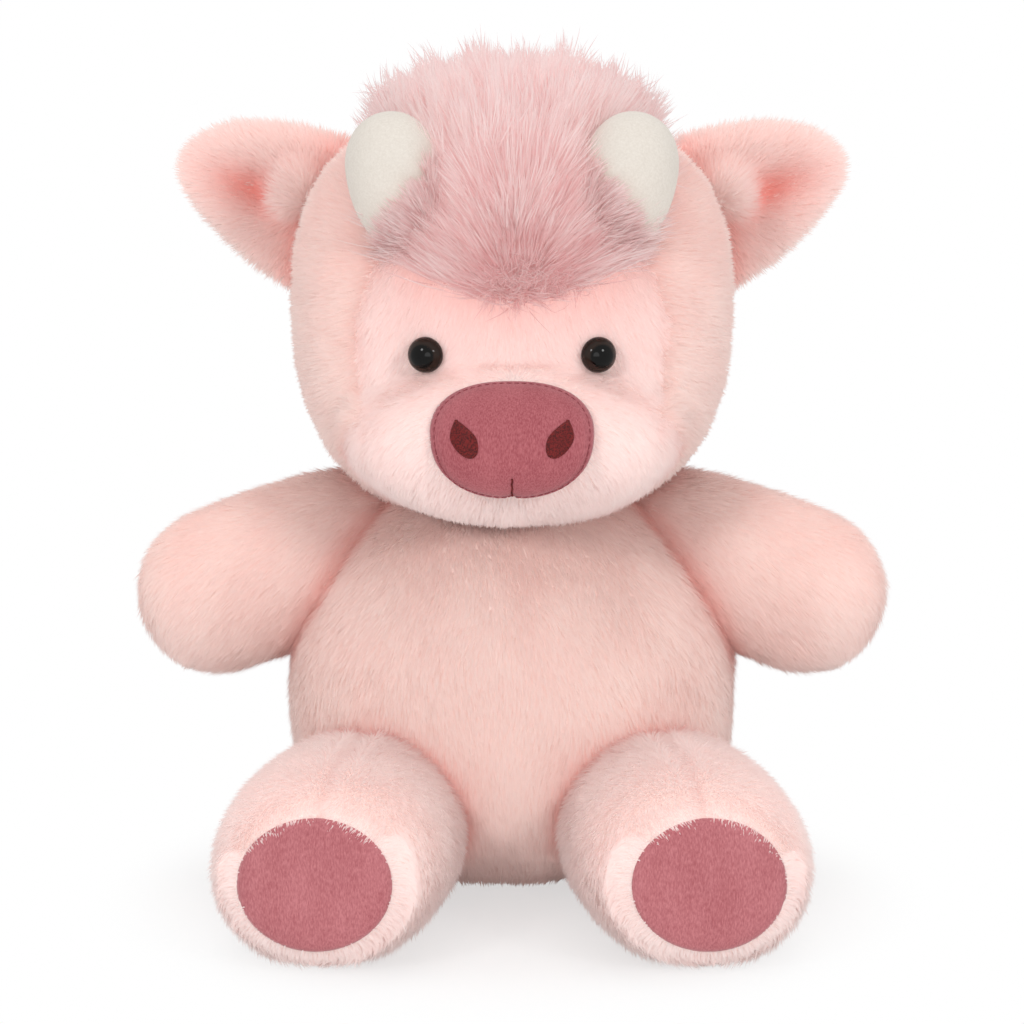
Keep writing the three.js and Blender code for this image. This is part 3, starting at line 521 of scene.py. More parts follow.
def pile_tree():
    """Strands over a cloth, leaning as it is combed, drawn together in locks."""
    tree, flow, given = new_tree("pile", {
        "Cloth": "Geometry", "Strand": "Object", "Density": "Float", "Shortest": "Float",
        "Lean": "Float", "Stray": "Float", "Lock Scale": "Float", "Lock Pull": "Float",
        "Tone Spread": "Float", "Seed": "Int", "Finish": "Material"})

    def named(name, kind="FLOAT"):
        return flow.node("GeometryNodeInputNamedAttribute", {"data_type": kind}, {"Name": name})

    def chance(low, high, offset):
        seed = given["Seed"] + offset
        return flow.node("FunctionNodeRandomValue", {"data_type": "FLOAT"}, {2: low, 3: high, 8: seed}, 1)

    def store(geometry, name, value, kind, domain):
        return flow.node("GeometryNodeStoreNamedAttribute", {"data_type": kind, "domain": domain}, {
            "Geometry": geometry, "Name": name, "Value": value})

    spread = flow.node("GeometryNodeDistributePointsOnFaces", inputs={
        "Mesh": given["Cloth"], "Density": given["Density"] * named("cover"), "Seed": given["Seed"]})
    normal = spread.beside("Normal")
    place = flow.node("GeometryNodeInputPosition")
    lock = place.noise(given["Lock Scale"], 2.0).beside("Color")
    pull = lock.vector("SUBTRACT", lock, (0.5, 0.5, 0.5)).scaled(given["Lock Pull"])
    stray = flow.node("FunctionNodeRandomValue", {"data_type": "FLOAT_VECTOR"}, {
        0: (-1, -1, -1), 1: (1, 1, 1), 8: given["Seed"] + 11}).scaled(given["Stray"])
    aim = normal
    for lean in (named("comb", "FLOAT_VECTOR").scaled(given["Lean"]), pull, stray):
        aim = aim.vector("ADD", aim, lean)
    aim = aim.vector("NORMALIZE", aim)
    upper = normal.vector("ADD", normal, stray.scaled(1.6))
    turn = flow.node("FunctionNodeAxesToRotation", {"primary_axis": "Z", "secondary_axis": "Y"}, {
        0: aim, 1: upper})
    tall = named("pile") * chance(given["Shortest"], 1.0, 23)
    size = flow.node("ShaderNodeCombineXYZ", inputs={0: 1.0, 1: tall, 2: tall})
    tint = named("tone") + (lock.beside(0) - 0.5) * given["Tone Spread"]
    tint = tint + chance(-0.5, 0.5, 37) * given["Tone Spread"]
    tint = tint.node("ShaderNodeClamp", inputs={0: tint, 1: SWATCH_LOW, 2: SWATCH_HIGH})
    marked = store(spread, "tint", tint, "FLOAT", "POINT")
    strand = flow.node("GeometryNodeObjectInfo", inputs={"Object": given["Strand"]}, output="Geometry")
    grown = flow.node("GeometryNodeInstanceOnPoints", inputs={
        "Points": marked, "Instance": strand, "Rotation": turn, "Scale": size})
    real = flow.node("GeometryNodeRealizeInstances", inputs={0: grown})
    swatch = flow.node("ShaderNodeCombineXYZ", inputs={
        0: SWATCH_LOW + named("along") * SWATCH_HIGH, 1: named("tint") + named("across") * SWATCH_LOW})
    real = store(real, "OFBake", swatch, "FLOAT2", "CORNER")
    x, y, z = place.split()
    above = flow.node("ShaderNodeCombineXYZ", inputs={0: x, 1: y, 2: z.maths("MAXIMUM", z, STRAND_FLOOR)})
    real = flow.node("GeometryNodeSetPosition", inputs={"Geometry": real, "Position": above})
    end_tree(flow, real, given["Finish"])
    return tree


def thread_tree():
    """Round thread along every edge of a wire."""
    tree, flow, given = new_tree("thread", {"Wire": "Geometry", "Radius": "Float", "Finish": "Material"})
    path = flow.node("GeometryNodeMeshToCurve", inputs={"Mesh": given["Wire"]})
    ring = flow.node("GeometryNodeCurvePrimitiveCircle", inputs={"Resolution": 6, "Radius": given["Radius"]})
    tube = flow.node("GeometryNodeCurveToMesh", inputs={
        "Curve": path, "Profile Curve": ring, "Fill Caps": True})
    end_tree(flow, flow.node("GeometryNodeSetShadeSmooth", inputs={0: tube}), given["Finish"])
    return tree


PILE, THREAD = pile_tree(), thread_tree()
QUICK = 1.0


def run_tree(name, source, tree, values):
    """A plain mesh object from a tree run on a source object, which is then deleted."""
    modifier = source.modifiers.new(tree.name, "NODES")
    modifier.node_group = tree
    for item in tree.interface.items_tree:
        if item.in_out == "INPUT" and item.name in values:
            modifier[item.identifier] = values[item.name]
    graph = bpy.context.evaluated_depsgraph_get()
    mesh = bpy.data.meshes.new_from_object(source.evaluated_get(graph))
    mesh.name = name
    bpy.data.objects.remove(source)
    for mark in {"along", "across", "tint", *MARKS} & set(mesh.attributes.keys()):
        mesh.attributes.remove(mesh.attributes[mark])
    return add_object(name, mesh)


def grow_pile(name, skin, faces, strand, finish, marks, density, seed, style=SHORT_PILE):
    """Pile over some faces of a skin, as one plain mesh; density is in strands to a square millimetre."""
    patch = new_object(f"{name}_cloth", points_of(skin), faces)
    for mark, values in zip(MARKS, marks):
        write_attribute(patch.data, mark, values)
    values = {word.replace("_", " ").title(): value for word, value in style.items()}
    return run_tree(name, patch, PILE, {
        **values, "Strand": strand, "Density": density * 1e6 * QUICK, "Seed": seed, "Finish": finish})


def plump(skins, holds):
    """Fills sewn bags from inside with cloth simulation; a held point stays, and none moves past the cap."""
    for obj, hold in zip(skins, holds):
        group = obj.vertex_groups.new(name="sewn")
        for weight in np.unique(hold.round(2)):
            if weight > 0:
                group.add(np.flatnonzero(hold.round(2) == weight).tolist(), float(weight), "REPLACE")
        cloth = obj.modifiers.new("stuffing", "CLOTH")
        for name, value in STUFFING.items():
            setattr(cloth.settings, name, value)
        cloth.settings.effector_weights.gravity = 0
        cloth.point_cache.frame_end = STUFFING_FRAMES
    for frame_number in range(1, STUFFING_FRAMES + 1):
        scene.frame_set(frame_number)
    graph = bpy.context.evaluated_depsgraph_get()
    for obj in skins:
        before = points_of(obj)
        moved = points_of(obj.evaluated_get(graph)) - before
        length = np.linalg.norm(moved, axis=1, keepdims=True)
        moved *= np.minimum(1, PLUMP_CAP / np.maximum(length, 1e-6))
        obj.modifiers.clear()
        obj.vertex_groups.clear()
        set_points(obj, before + moved)
    scene.frame_set(1)


# Finishes: two colours each, as 0 to 255 screen values
BACKING = dict(grain=900.0, depth=0.0006)
SUEDE = dict(grain=2300.0, depth=0.0004, sheen=0.3, brushed=0.3)
pink_pile = pile_finish("pink_pile", (226, 137, 125), (246, 237, 233))
pale_pile = pile_finish("pale_pile", (230, 151, 141), (250, 244, 242))
leg_finish = pile_finish("leg_pile", (228, 144, 133), (250, 244, 242))
ear_pile = pile_finish("ear_pile", (247, 152, 139), (245, 239, 236), through=0.74)
rose_hair = pile_finish("rose_hair", (216, 147, 149), (244, 236, 234), root=0.76, through=0.66)
pink_backing = cloth_finish("pink_backing", (239, 216, 210), (246, 229, 224), **BACKING)
rose_backing = cloth_finish("rose_backing", (204, 140, 141), (226, 170, 170), **BACKING)
ivory_velboa = cloth_finish("ivory_velboa", (214, 206, 196), (223, 216, 207), grain=1300.0, depth=0.0001)
rose_suede = cloth_finish("rose_suede", (150, 72, 80), (181, 104, 110), **SUEDE)
sole_suede = cloth_finish("sole_suede", (165, 90, 96), (195, 123, 128), **SUEDE)
maroon_thread = thread_finish("maroon_thread", (66, 8, 10), (122, 26, 26))
rose_thread = thread_finish("rose_thread", (120, 48, 56), (160, 80, 88))
eye_gloss = eye_finish()


# Skins: the cloth under the pile, a little smaller than the toy's outside
def leg_points(ways):
    """A stubby leg with a flattened sole and a resting underside."""
    points = egg(LEG, ways, -PILE_ROOT)
    beyond = (points - SOLE) @ LEG_OUT + PILE_ROOT / 2
    points = points - LEG_OUT * np.maximum(beyond, 0)[:, None]
    points[:, 2] = np.maximum(points[:, 2], LEG_FLOOR)
    return points


def body_seams(p):
    x, y, _ = p.T
    return np.minimum(np.abs(y - BODY_SIDE_Y), np.where(y > BODY_SIDE_Y, np.abs(x), FAR))


def past_edge(x, z, edge):
    """How far points lie outside a pair of seams; inside is negative."""
    return np.abs(x) - np.interp(z, *edge)


def muzzle_ring(p):
    """1 on the muzzle's seam and less inside it, seen from the front."""
    return np.hypot(p[:, 0] / MUZZLE_SEAM_WIDE, (p[:, 2] - MUZZLE_SEAM_Z) / MUZZLE_SEAM_TALL)


def head_seams(p):
    x, y, z = p.T
    face = np.where((y < HEAD_SIDE_Y) & (z > 165), np.abs(past_edge(x, z, FACE_EDGE)), FAR)
    muzzle = np.where(y < MUZZLE_BACK_Y, np.abs(muzzle_ring(p) - 1) * 44, FAR)
    nape = np.where(y > HEAD_SIDE_Y, np.abs(past_edge(x, z, NAPE_EDGE)), FAR)
    return np.minimum(np.minimum(face, muzzle), nape)


def arm_seams(p):
    return np.abs(p[:, 1] - ARM["centre"][1])


def leg_top_seam(p):
    x, y, z = (p - np.array(LEG["centre"])).T
    across = x * math.cos(LEG_SPLAY) + y * math.sin(LEG_SPLAY)
    return np.where(z > 0, np.abs(across + 2), FAR)


def eye_distance(p):
    return np.where(p[:, 1] < 0, np.hypot(np.abs(p[:, 0]) - EYE_X, p[:, 2] - EYE_Z), FAR)


def sewn_in(name, points, quads, seams, depth, seed):
    """A slightly wavy skin drawn in along its seams."""
    obj = new_object(name, points, quads, finish=pink_backing)
    _, normals = surface_of(obj)
    points = points + normals * (smooth_noise(points, 55, seed) * 0.7)[:, None]
    points = points - normals * (groove(seams(points)) * depth)[:, None]
    points[:, 2] = np.maximum(points[:, 2], CLOTH_FLOOR)
    set_points(obj, points)
    return obj


def mirrored_skin(obj, name):
    return new_object(name, points_of(obj) * FLIP, quads_of(obj)[:, ::-1], finish=pink_backing)


ball_fine, quads_fine = even_ball(44)
ball_mid, quads_mid = even_ball(30)
body_skin = sewn_in("body_skin", egg(BODY, ball_fine, -PILE_ROOT), quads_fine, body_seams, 1.4, 3)
head_skin = sewn_in("head_skin", head_points(ball_fine, -PILE_ROOT), quads_fine, head_seams, 1.3, 5)
head_now, head_normals = surface_of(head_skin)
set_points(head_skin, head_now - head_normals * (groove(eye_distance(head_now), 8.0) * 2.4)[:, None])
arm_skin = sewn_in("arm_left_skin", egg(ARM, ball_mid, -PILE_ROOT), quads_mid, arm_seams, 1.2, 7)
leg_skin = sewn_in("leg_left_skin", leg_points(ball_mid), quads_mid, leg_top_seam, 1.4, 9)

bags = {body_skin: body_seams, head_skin: head_seams, arm_skin: arm_seams, leg_skin: leg_top_seam}
plump(bags, [np.maximum(groove(seams(points_of(bag))), points_of(bag)[:, 2] < 3)
             for bag, seams in bags.items()])

ARMS, LEGS = {"left": ARM, "right": mirror(ARM)}, {"left": LEG, "right": mirror(LEG)}
arm_skins = {"left": arm_skin, "right": mirrored_skin(arm_skin, "arm_right_skin")}
leg_skins = {"left": leg_skin, "right": mirrored_skin(leg_skin, "leg_right_skin")}

short_strand = strand_mesh("short_strand", 7.0, 0.52)
face_strand = strand_mesh("face_strand", 6.4, 0.46)
ear_strand = strand_mesh("ear_strand", 6.6, 0.46)
hair_strand = strand_mesh("hair_strand", 30.0, 0.46, rings=4, bend=0.22, curl=0.015)
curl_strand = strand_mesh("curl_strand", 10.0, 0.42, rings=5, bend=0.5, curl=0.09)
tuft_strand = strand_mesh("tuft_strand", 20.0, 0.55, rings=5, bend=0.3, curl=0.02)


def grow_body():
    p, n = surface_of(body_skin)
    z = p[:, 2]
    limbs = [egg_distance(form, p) for form in (*ARMS.values(), *LEGS.values())]
    limb, head = np.minimum.reduce(limbs), head_distance(p)
    cover = outside_share(head)
    for distance, depth in zip(limbs, (20.0, 20.0, 11.0, 11.0)):
        cover = cover * outside_share(distance, depth)
    cover = np.where(z < 4, cover * 0.25, cover)
    seam = groove(body_seams(p), 2.6)
    # Painted shade in the tone: darker in the creases by the limbs, under the head as a painted chin shadow,
    # and towards the bottom; a little darker along the seams, with random tone from the noise
    tone = 0.89 - 0.1 * near(limb, 8.0) - 0.4 * near(limb, 2.5) - 0.1 * near(head, 20.0) - 0.07 * seam
    tone = tone - 0.08 * ramp(z, 36, -30) + 0.03 * smooth_noise(p, 30, 4)
    pile = (1 - 0.35 * seam) * np.where(z < 6, 0.6, 1.0)
    comb = along_skin(DOWN, n) + along_skin((1, 0, 0), n) * (0.25 * smooth_noise(p, 45, 8))[:, None]
    quads = quads_of(body_skin)
    middle = p[quads].mean(1)
    front, left = middle[:, 1] < BODY_SIDE_Y, middle[:, 0] > 0
    parts = [("body_front_left_pile", front & left, 2.3), ("body_front_right_pile", front & ~left, 2.3),
             ("body_back_left_pile", ~front & left, 2.1), ("body_back_right_pile", ~front & ~left, 2.1)]
    return [grow_pile(name, body_skin, quads[mask], short_strand, pink_pile, (comb, cover, pile, tone),
                      density, seed=20 + i) for i, (name, mask, density) in enumerate(parts)]


def nose_share(x, height, wide, tall):
    """Below 1 inside the outline of the nose pad."""
    return (np.abs(x / wide) ** NOSE_FULL + np.abs(height / tall) ** NOSE_FULL) ** (1 / NOSE_FULL)


def brow_share(p):
    """Below 1 where hair grows low on the forehead."""
    x, y, z = p.T
    low = np.hypot((x - BROW_X) / BROW_WIDE, np.minimum(z - BROW_Z, 0) / BROW_TALL)
    return np.where(y < BROW_FRONT, low, 9)


def grow_head():
    p, n = surface_of(head_skin)
    x, y, z = p.T
    eye = eye_distance(p)
    nose = np.where(y < 0, nose_share(x, z - NOSE_Z, NOSE_WIDE, NOSE_TALL), 9)
    body = egg_distance(BODY, p)
    arms = np.minimum(*[egg_distance(form, p) for form in ARMS.values()])
    brow = brow_share(p)
    cover = outside_share(body) * ramp(eye, 4.6, 1.5) * ramp(nose, 0.9, 0.05)
    cover = cover * ramp(ball_distance(FORELOCK, p), -16, 5, 0.12) * ramp(brow, 0.8, 0.2, 0.05)
    seam = groove(head_seams(p))
    # Painted shade in the tone: darker in the creases by the body and arms, and a painted shadow of the hair
    # under the brow; also a little darker along the seams and towards the back of the muzzle
    crease = np.maximum(near(body, 8.0), near(arms, 6.0))
    hem = ramp(y, -48, 18) * (y < -29) * (muzzle_ring(p) < 1)
    tone = 0.9 - 0.12 * crease - 0.11 * seam - 0.3 * near(brow - 1, 0.6) - 0.2 * hem
    tone = tone + 0.03 * smooth_noise(p, 26, 6)
    pile = (1 - 0.35 * seam) * ramp(eye, 3, 7, 0.35) * ramp(nose, 0.7, 0.5, 0.6)

    quads = quads_of(head_skin)
    middle = p[quads].mean(1)
    x, y, z = middle.T
    muzzle = (muzzle_ring(middle) < 1) & (y < MUZZLE_BACK_Y)
    face = (past_edge(x, z, FACE_EDGE) < 0) & (y < HEAD_SIDE_Y) & (z > 160) & ~muzzle
    nape = (past_edge(x, z, NAPE_EDGE) < 0) & (y > HEAD_SIDE_Y)
    left = ~(muzzle | face | nape) & (x > 0)
    right = ~(muzzle | face | nape | left)

    # The face is combed down and away from the nose, the sides back, and all stands up along the seams
    down = along_skin(DOWN, n)
    spread = along_skin((p - np.array([0, 0, NOSE_Z])) * np.array([1, 0, 1]), n)
    behind = np.clip(n[:, 1:2], 0, 1)
    upright = (1 - 0.75 * seam)[:, None]
    back = unit(along_skin((0, 1, 0), n) * (1 - behind) + down * (0.2 + behind)) * upright
    around = unit(down * 0.9 + spread * 0.35 + spread * ramp(nose, 1.6, -1)[:, None]) * upright
    parts = [
        ("face_pile", face, face_strand, pale_pile, around, 2.9),
        ("muzzle_pile", muzzle, face_strand, pale_pile, around, 3.0),
        ("head_left_pile", left, short_strand, pink_pile, back, 2.4),
        ("head_right_pile", right, short_strand, pink_pile, back, 2.4),
        ("head_back_pile", nape, short_strand, pink_pile, down * upright, 2.4),
    ]
    return [grow_pile(name, head_skin, quads[mask], strand, finish, (comb, cover, pile, tone),
                      density, seed=40 + i)
            for i, (name, mask, strand, finish, comb, density) in enumerate(parts)]


def grow_arm(side, seed):
    skin, out = arm_skins[side], ARMS[side]["out"]
    p, n = surface_of(skin)
    body, head = egg_distance(BODY, p), head_distance(p)
    touch = np.minimum(body, head)
    cover = outside_share(body, 16.0) * outside_share(head, 12.0)
    seam = groove(arm_seams(p))
    # Painted shade: darker in the creases where the arm touches the body and head
    tone = 0.86 - 0.1 * near(touch, 9.0) - 0.25 * near(touch, 2.0) - 0.05 * seam
    tone = tone + 0.03 * smooth_noise(p, 26, seed)
    tip = np.clip(n @ np.array(out), 0, 1)[:, None]
    fall = along_skin(DOWN, n) * np.sqrt(1 - n[:, 2:] ** 2)
    comb = unit(along_skin(out, n) * (1 - tip) + fall * (0.55 + 0.45 * tip))
    return grow_pile(f"arm_{side}_pile", skin, quads_of(skin), short_strand, pink_pile,
                     (comb, cover, 1 - 0.3 * seam, tone), density=2.6, seed=seed)


def sole_centre(form):
    return np.array(form["centre"]) + SOLE_AHEAD * np.array(form["out"])


def grow_leg(side, seed):
    skin, form = leg_skins[side], LEGS[side]
    p, n = surface_of(skin)
    z = p[:, 2]
    turn = turn_to(form["out"])
    local = (p - sole_centre(form)) @ turn
    pad = np.where(local[:, 2] > -6, np.hypot(local[:, 0] / PAD_WIDE, local[:, 1] / PAD_TALL), 9)
    body = egg_distance(BODY, p)
    cover = outside_share(body, 16.0) * ramp(pad, 0.985, 0.03)
    cover = np.where(z < 2.5, cover * 0.75, cover)
    seam = groove(leg_top_seam(p * np.array([SIDES[side], 1, 1])), 2.2)
    # Painted shade: darker in the crease where the leg meets the body
    tone = 0.91 - 0.1 * near(body, 7.0) - 0.45 * near(body, 3.0) - 0.08 * seam
    tone = tone + 0.03 * smooth_noise(p, 26, seed)
    pile = (1 - 0.4 * seam) * np.where(z < 5, 0.55, 1.0) * ramp(pad, 0.6, 0.9, 0.5)

    # Along the leg and down, and out round the sole, with a fringe over its upper edge
    radial = unit(local * np.array([1, 1, 0]))
    fringe = np.clip(radial[:, 1] * 1.4, 0, 1)[:, None]
    rim = along_skin((radial * (1 - 1.5 * fringe)) @ turn.T, n)
    on_front = ramp(local[:, 2], -14, 14)[:, None]
    forward = unit(along_skin(form["out"], n) * 0.8 + along_skin(DOWN, n) * 0.6)
    comb = unit(forward * (1 - on_front) + rim * on_front)
    return grow_pile(f"leg_{side}_pile", skin, quads_of(skin), short_strand, leg_finish,
                     (comb, cover, pile, tone), density=2.6, seed=seed, style=LEG_PILE)


def ear_local():
    """An ear as length, width and thickness from its root, and how hollow and folded it is there.

    It is a flattened leaf, cupped forward, with a hollow under a soft fold at its root."""
    ways, quads = even_ball(24)
    local = ways * np.array([EAR_LENGTH, EAR_WIDE, EAR_THICK])
    local[local[:, 0] < 0, 0] *= EAR_HEEL / EAR_LENGTH
    length, width, _ = local.T
    across = width / EAR_WIDE
    local[:, 1] *= np.where(across < 0, 0.96 - 0.24 * ramp(length, 0, EAR_LENGTH), 1.0)
    fold_way = np.hypot((length - 12) / 7.5, (width - 4.5) / 10.5)
    fold = np.exp(-fold_way ** 4)
    hollow = np.exp(-((length - 23) / 14) ** 2 - ((width + 0.5) / 6.5) ** 2) * ramp(fold_way, 0.8, 0.4)
    front = np.clip(ways[:, 2] * 3, 0, 1)
    local[:, 2] += EAR_CUP * across ** 2 + front * (4.5 * fold - 3.5 * hollow)
    return local, quads, hollow, fold


def ear_skin(side):
    local, quads, _, _ = ear_local()
    points = local @ EAR_FRAME + EAR_ROOT
    if side == "right":
        points, quads = points * FLIP, quads[:, ::-1]
    return new_object(f"ear_{side}_skin", points, quads, finish=pink_backing)


def grow_ear(skin, side, seed):
    local, _, hollow, fold = ear_local()
    length, width, _ = local.T
    p, n = surface_of(skin)
    out, up, front = EAR_FRAME * np.array([SIDES[side], 1, 1])
    head = head_distance(p)
    ahead = np.clip(n @ front * 3, 0, 1)
    rim = np.hypot(length / EAR_LENGTH, width / EAR_WIDE)
    inner = ramp(rim, 0.95, -0.7) * ahead * (1 - fold)
    low = ramp(width, 0, -EAR_WIDE) * inner
    # Painted shade: darkest in the hollow of the lining, with a painted shadow at the root by the head; the
    # lining is also darker inward from its rim and in its lower half
    tone = 0.95 - 0.1 * inner - 0.1 * low - 0.68 * hollow * ahead - 0.35 * near(head, 5.0) * (1 - fold)
    spread = np.outer((width - 2) / 18, up) + np.outer(ramp(length, 8, 20, -0.3) + 0.25, out)
    comb, cover, pile = along_skin(spread, n), outside_share(head, 6.0), 1 - 0.3 * hollow * ahead
    quads = quads_of(skin)
    lining = (n @ front)[quads].mean(1) > 0.1
    parts = [("lining", lining, ear_pile, 1.0), ("back", ~lining, pink_pile, 0.5)]
    return [grow_pile(f"ear_{side}_{word}_pile", skin, quads[mask], ear_strand, finish,
                      (comb, cover, pile, np.clip(1 - (1 - tone) * deep, 0, 1)),
                      density=3.2, seed=seed + i, style=EAR_PILE)
            for i, (word, mask, finish, deep) in enumerate(parts)]


def head_front(x, z):
    """How far forward the head's front lies at a place seen from the front."""
    middle, up = HEAD["centre"], HEAD["up"] if z > HEAD["centre"][2] else HEAD["down"]
    tall = abs((z - middle[2]) / up) ** HEAD["tall"]
    left = (1 - tall) ** (HEAD["flat"] / HEAD["tall"]) - abs(x / HEAD["wide"]) ** HEAD["flat"]
    return middle[1] - HEAD["front"] * left ** (1 / HEAD["flat"])


def place_on_head(x, z, step=0.5):
    """A place on the head's front and the way straight out of it."""
    slope_x = (head_front(x + step, z) - head_front(x - step, z)) / (2 * step)
    slope_z = (head_front(x, z + step) - head_front(x, z - step)) / (2 * step)
    return np.array([x, head_front(x, z), z]), unit(np.array([slope_x, -1, slope_z]))


def horn_form():
    point, out = place_on_head(HORN_X, HORN_Z)
    return {**HORN, "centre": tuple(point - HORN_SINK * out + HORN["below"] * unit(HORN["out"]))}


def horn_piece(side):
    """A horn with the seam round it drawn in."""
    ways, quads = even_ball(30)
    points = egg(HORNS[side], ways)
    obj = new_object(f"horn_{side}_skin", points, quads, finish=ivory_velboa)
    seam = np.abs((points - np.array(HORNS[side]["centre"]))[:, 1])
    set_points(obj, points - surface_of(obj)[1] * (groove(seam, 0.9) * 0.5)[:, None])
    return obj


def hair_from_knot(p, n):
    """How hair lies, how long it is and how pale, by its place from the knot."""
    far = np.linalg.norm(p - KNOT, axis=1)
    away = along_skin(p - KNOT, n)
    knot = groove(far, 11)
    low = ramp(p[:, 2], 236, -16) * (p[:, 1] < BROW_FRONT)
    swirl = np.cross(n, away) * (smooth_noise(p, 9, 31) * (0.2 + 1.6 * knot))[:, None]
    rise = along_skin((0, 0, 1), n) * (0.55 * low + 1.5 * knot)[:, None]
    comb = unit(away + rise + swirl) * (1 - 0.4 * knot)[:, None]
    pile = np.clip(0.2 + far / 50, 0.22, 0.8) * (1 + 0.28 * smooth_noise(p, 13, 33))
    tone = np.clip(0.46 + far / 130, 0.2, 0.92) - 0.45 * knot + 0.12 * smooth_noise(p, 13, 35)
    return comb, pile, tone


def grow_forelock(skin):
    """Hair brushed up and out from a curled knot low on the forehead."""
    p, n = surface_of(skin)
    comb, pile, tone = hair_from_knot(p, n)
    cover = outside_share(head_distance(p), 4.0)
    quads = quads_of(skin)
    ahead = p[quads].mean(1)[:, 1] < FORELOCK["centre"][1]
    parts = [("forelock_front_hair", ahead, 1.7, 61), ("forelock_back_hair", ~ahead, 1.3, 62)]
    made = [grow_pile(name, skin, quads[mask], hair_strand, rose_hair, (comb, cover, pile, tone), density,
                      seed, style=LONG_HAIR) for name, mask, density, seed in parts]

    p, n = surface_of(head_skin)
    x, y, z = p.T
    brow = brow_share(p)
    quads = quads_of(head_skin)
    low = quads[(brow[quads].min(1) < 1) & (p[quads].mean(1)[:, 2] < 252)]
    comb, pile, tone = hair_from_knot(p, n)
    marks = comb, ramp(brow, 1, -0.12), pile * (1 + 0.1 * ramp(np.abs(x), 12, 12)), tone
    made.append(grow_pile("forelock_brow_hair", head_skin, low, hair_strand, rose_hair, marks,
                          density=3.0, seed=63, style=BROW_HAIR))

    curl = np.hypot((x - KNOT[0]) / 21, (z - KNOT[2]) / 7.5)
    cover = np.where(y < BROW_FRONT, ramp(curl, 1, -0.3), 0)
    ruffle = np.stack([smooth_noise(p, 7, k) for k in (36, 37, 38)], -1)
    comb = along_skin(ruffle + np.array([0, 0, 0.2]), n)
    marks = comb, cover, np.ones(len(p)), 0.47 + 0.1 * smooth_noise(p, 8, 39)
    made.append(grow_pile("forelock_knot_hair", head_skin, low, curl_strand, rose_hair, marks,
                          density=5.0, seed=64, style=KNOT_HAIR))
    return made


def grow_over_horn(side, seed):
    """Hair that spills over the lower inner side of a horn."""
    horn, sign = horns[side], SIDES[side]
    p, n = surface_of(horn)
    x, _, z = ((p - np.array(HORNS[side]["centre"])) * np.array([sign, 1, 1])).T
    rise = 0.8 * x + 0.6 * z + 1.5 * smooth_noise(p, 9, seed)
    cover = ramp(rise, -8.5, -3) * ramp(n[:, 1], 0.45, -0.2) * ramp(x, 3, -4)
    comb = along_skin((0.8 * sign, -0.1, 0.6), n)
    pile = ramp(rise, -2, -30, 0.22, 0.6) * (1 + 0.2 * smooth_noise(p, 7, seed + 1))
    tone = 0.78 + 0.1 * smooth_noise(p, 8, seed + 2)
    return grow_pile(f"forelock_{side}_hair", horn, quads_of(horn), hair_strand, rose_hair,
                     (comb, cover, pile, tone), density=3.4, seed=seed, style=HORN_HAIR)


def cap_faces(rings, sides):
    """Faces of a cap: a fan round its first point, then rings of quads."""
    faces = []
    for k in range(sides):
        after = (k + 1) % sides
        faces.append((0, 1 + k, 1 + after))
        for a in range(1, 1 + rings * sides, sides):
            faces.append((a + k, a + sides + k, a + sides + after, a + after))
    return faces


def crowned_pad(name, outline, place, height, finish, depth=5.0, rings=20, sides=72):
    """A closed pad: outline gives its edge, height its swell, place puts it on what carries it."""
    edge = outline(np.linspace(0, 2 * math.pi, sides, endpoint=False))
    middle = np.zeros((1, 2))
    points = [place(middle, height(np.zeros(1), middle))]
    for ring in range(1, rings + 1):
        share = (ring / rings) ** 0.8
        points.append(place(edge * share, height(np.full(sides, share), edge * share)))
    points.append(place(edge * 0.985, np.full(sides, -depth)))
    points.append(place(middle, np.full(1, -depth)))
    last = 1 + rings * sides
    floor = [(last + (k + 1) % sides, last + k, last + sides) for k in range(sides)]
    return new_object(name, np.concatenate(points), cap_faces(rings, sides) + floor, finish=finish)


def nose_outline(angle):
    """The edge of the nose pad, wider above, with a notch below its middle."""
    c, s = np.cos(angle), np.sin(angle)
    k = (np.abs(c) ** NOSE_FULL + np.abs(s) ** NOSE_FULL) ** (-1 / NOSE_FULL)
    wide = NOSE_PAD_WIDE * c * k * (1 + 0.07 * s * k)
    tall = NOSE_PAD_TALL * s * k + np.where(s < 0, 0.9 * groove(wide, 2.2), 0)
    return np.stack([wide, tall], -1)


def nose_height(share, flat):
    """Swell of the nose pad, with a crease below its middle and drawn in under its stitches."""
    swell = 3.9 * np.sqrt(np.maximum(0, 1 - share ** 3.0)) - 1.4
    crease = groove(flat[:, 0], 0.8) * ramp(flat[:, 1], -9, -4)
    return swell - 0.7 * crease - 0.35 * groove(share - NOSE_STITCH, 0.018)


def nose_place(flat, height):
    """Places on the front of the muzzle, lifted straight out of it."""
    reach = np.array([MUZZLE["wide"], MUZZLE["front"], MUZZLE["up"]])
    centre = np.array(MUZZLE["centre"])
    x, z = flat[:, 0], flat[:, 1] + NOSE_Z
    share = 1 - ((x - centre[0]) / reach[0]) ** 2 - ((z - centre[2]) / reach[2]) ** 2
    points = np.stack([x, centre[1] - reach[1] * np.sqrt(np.maximum(share, 0)), z], -1)
    return points + unit((points - centre) / reach ** 2) * height[:, None]


def on_nose(flat, lift):
    share = nose_share(flat[:, 0], flat[:, 1], NOSE_PAD_WIDE, NOSE_PAD_TALL)
    return nose_place(flat, nose_height(share, flat) + lift)


def thread_piece(name, lines, radius, finish):
    """Thread along lines of points."""
    edges, start = [], 0
    for line in lines:
        edges += [(start + i, start + i + 1) for i in range(len(line) - 1)]
        start += len(line)
    wire = new_object(f"{name}_wire", np.concatenate(lines), edges=edges)
    return run_tree(name, wire, THREAD, {"Radius": radius * MM, "Finish": finish})


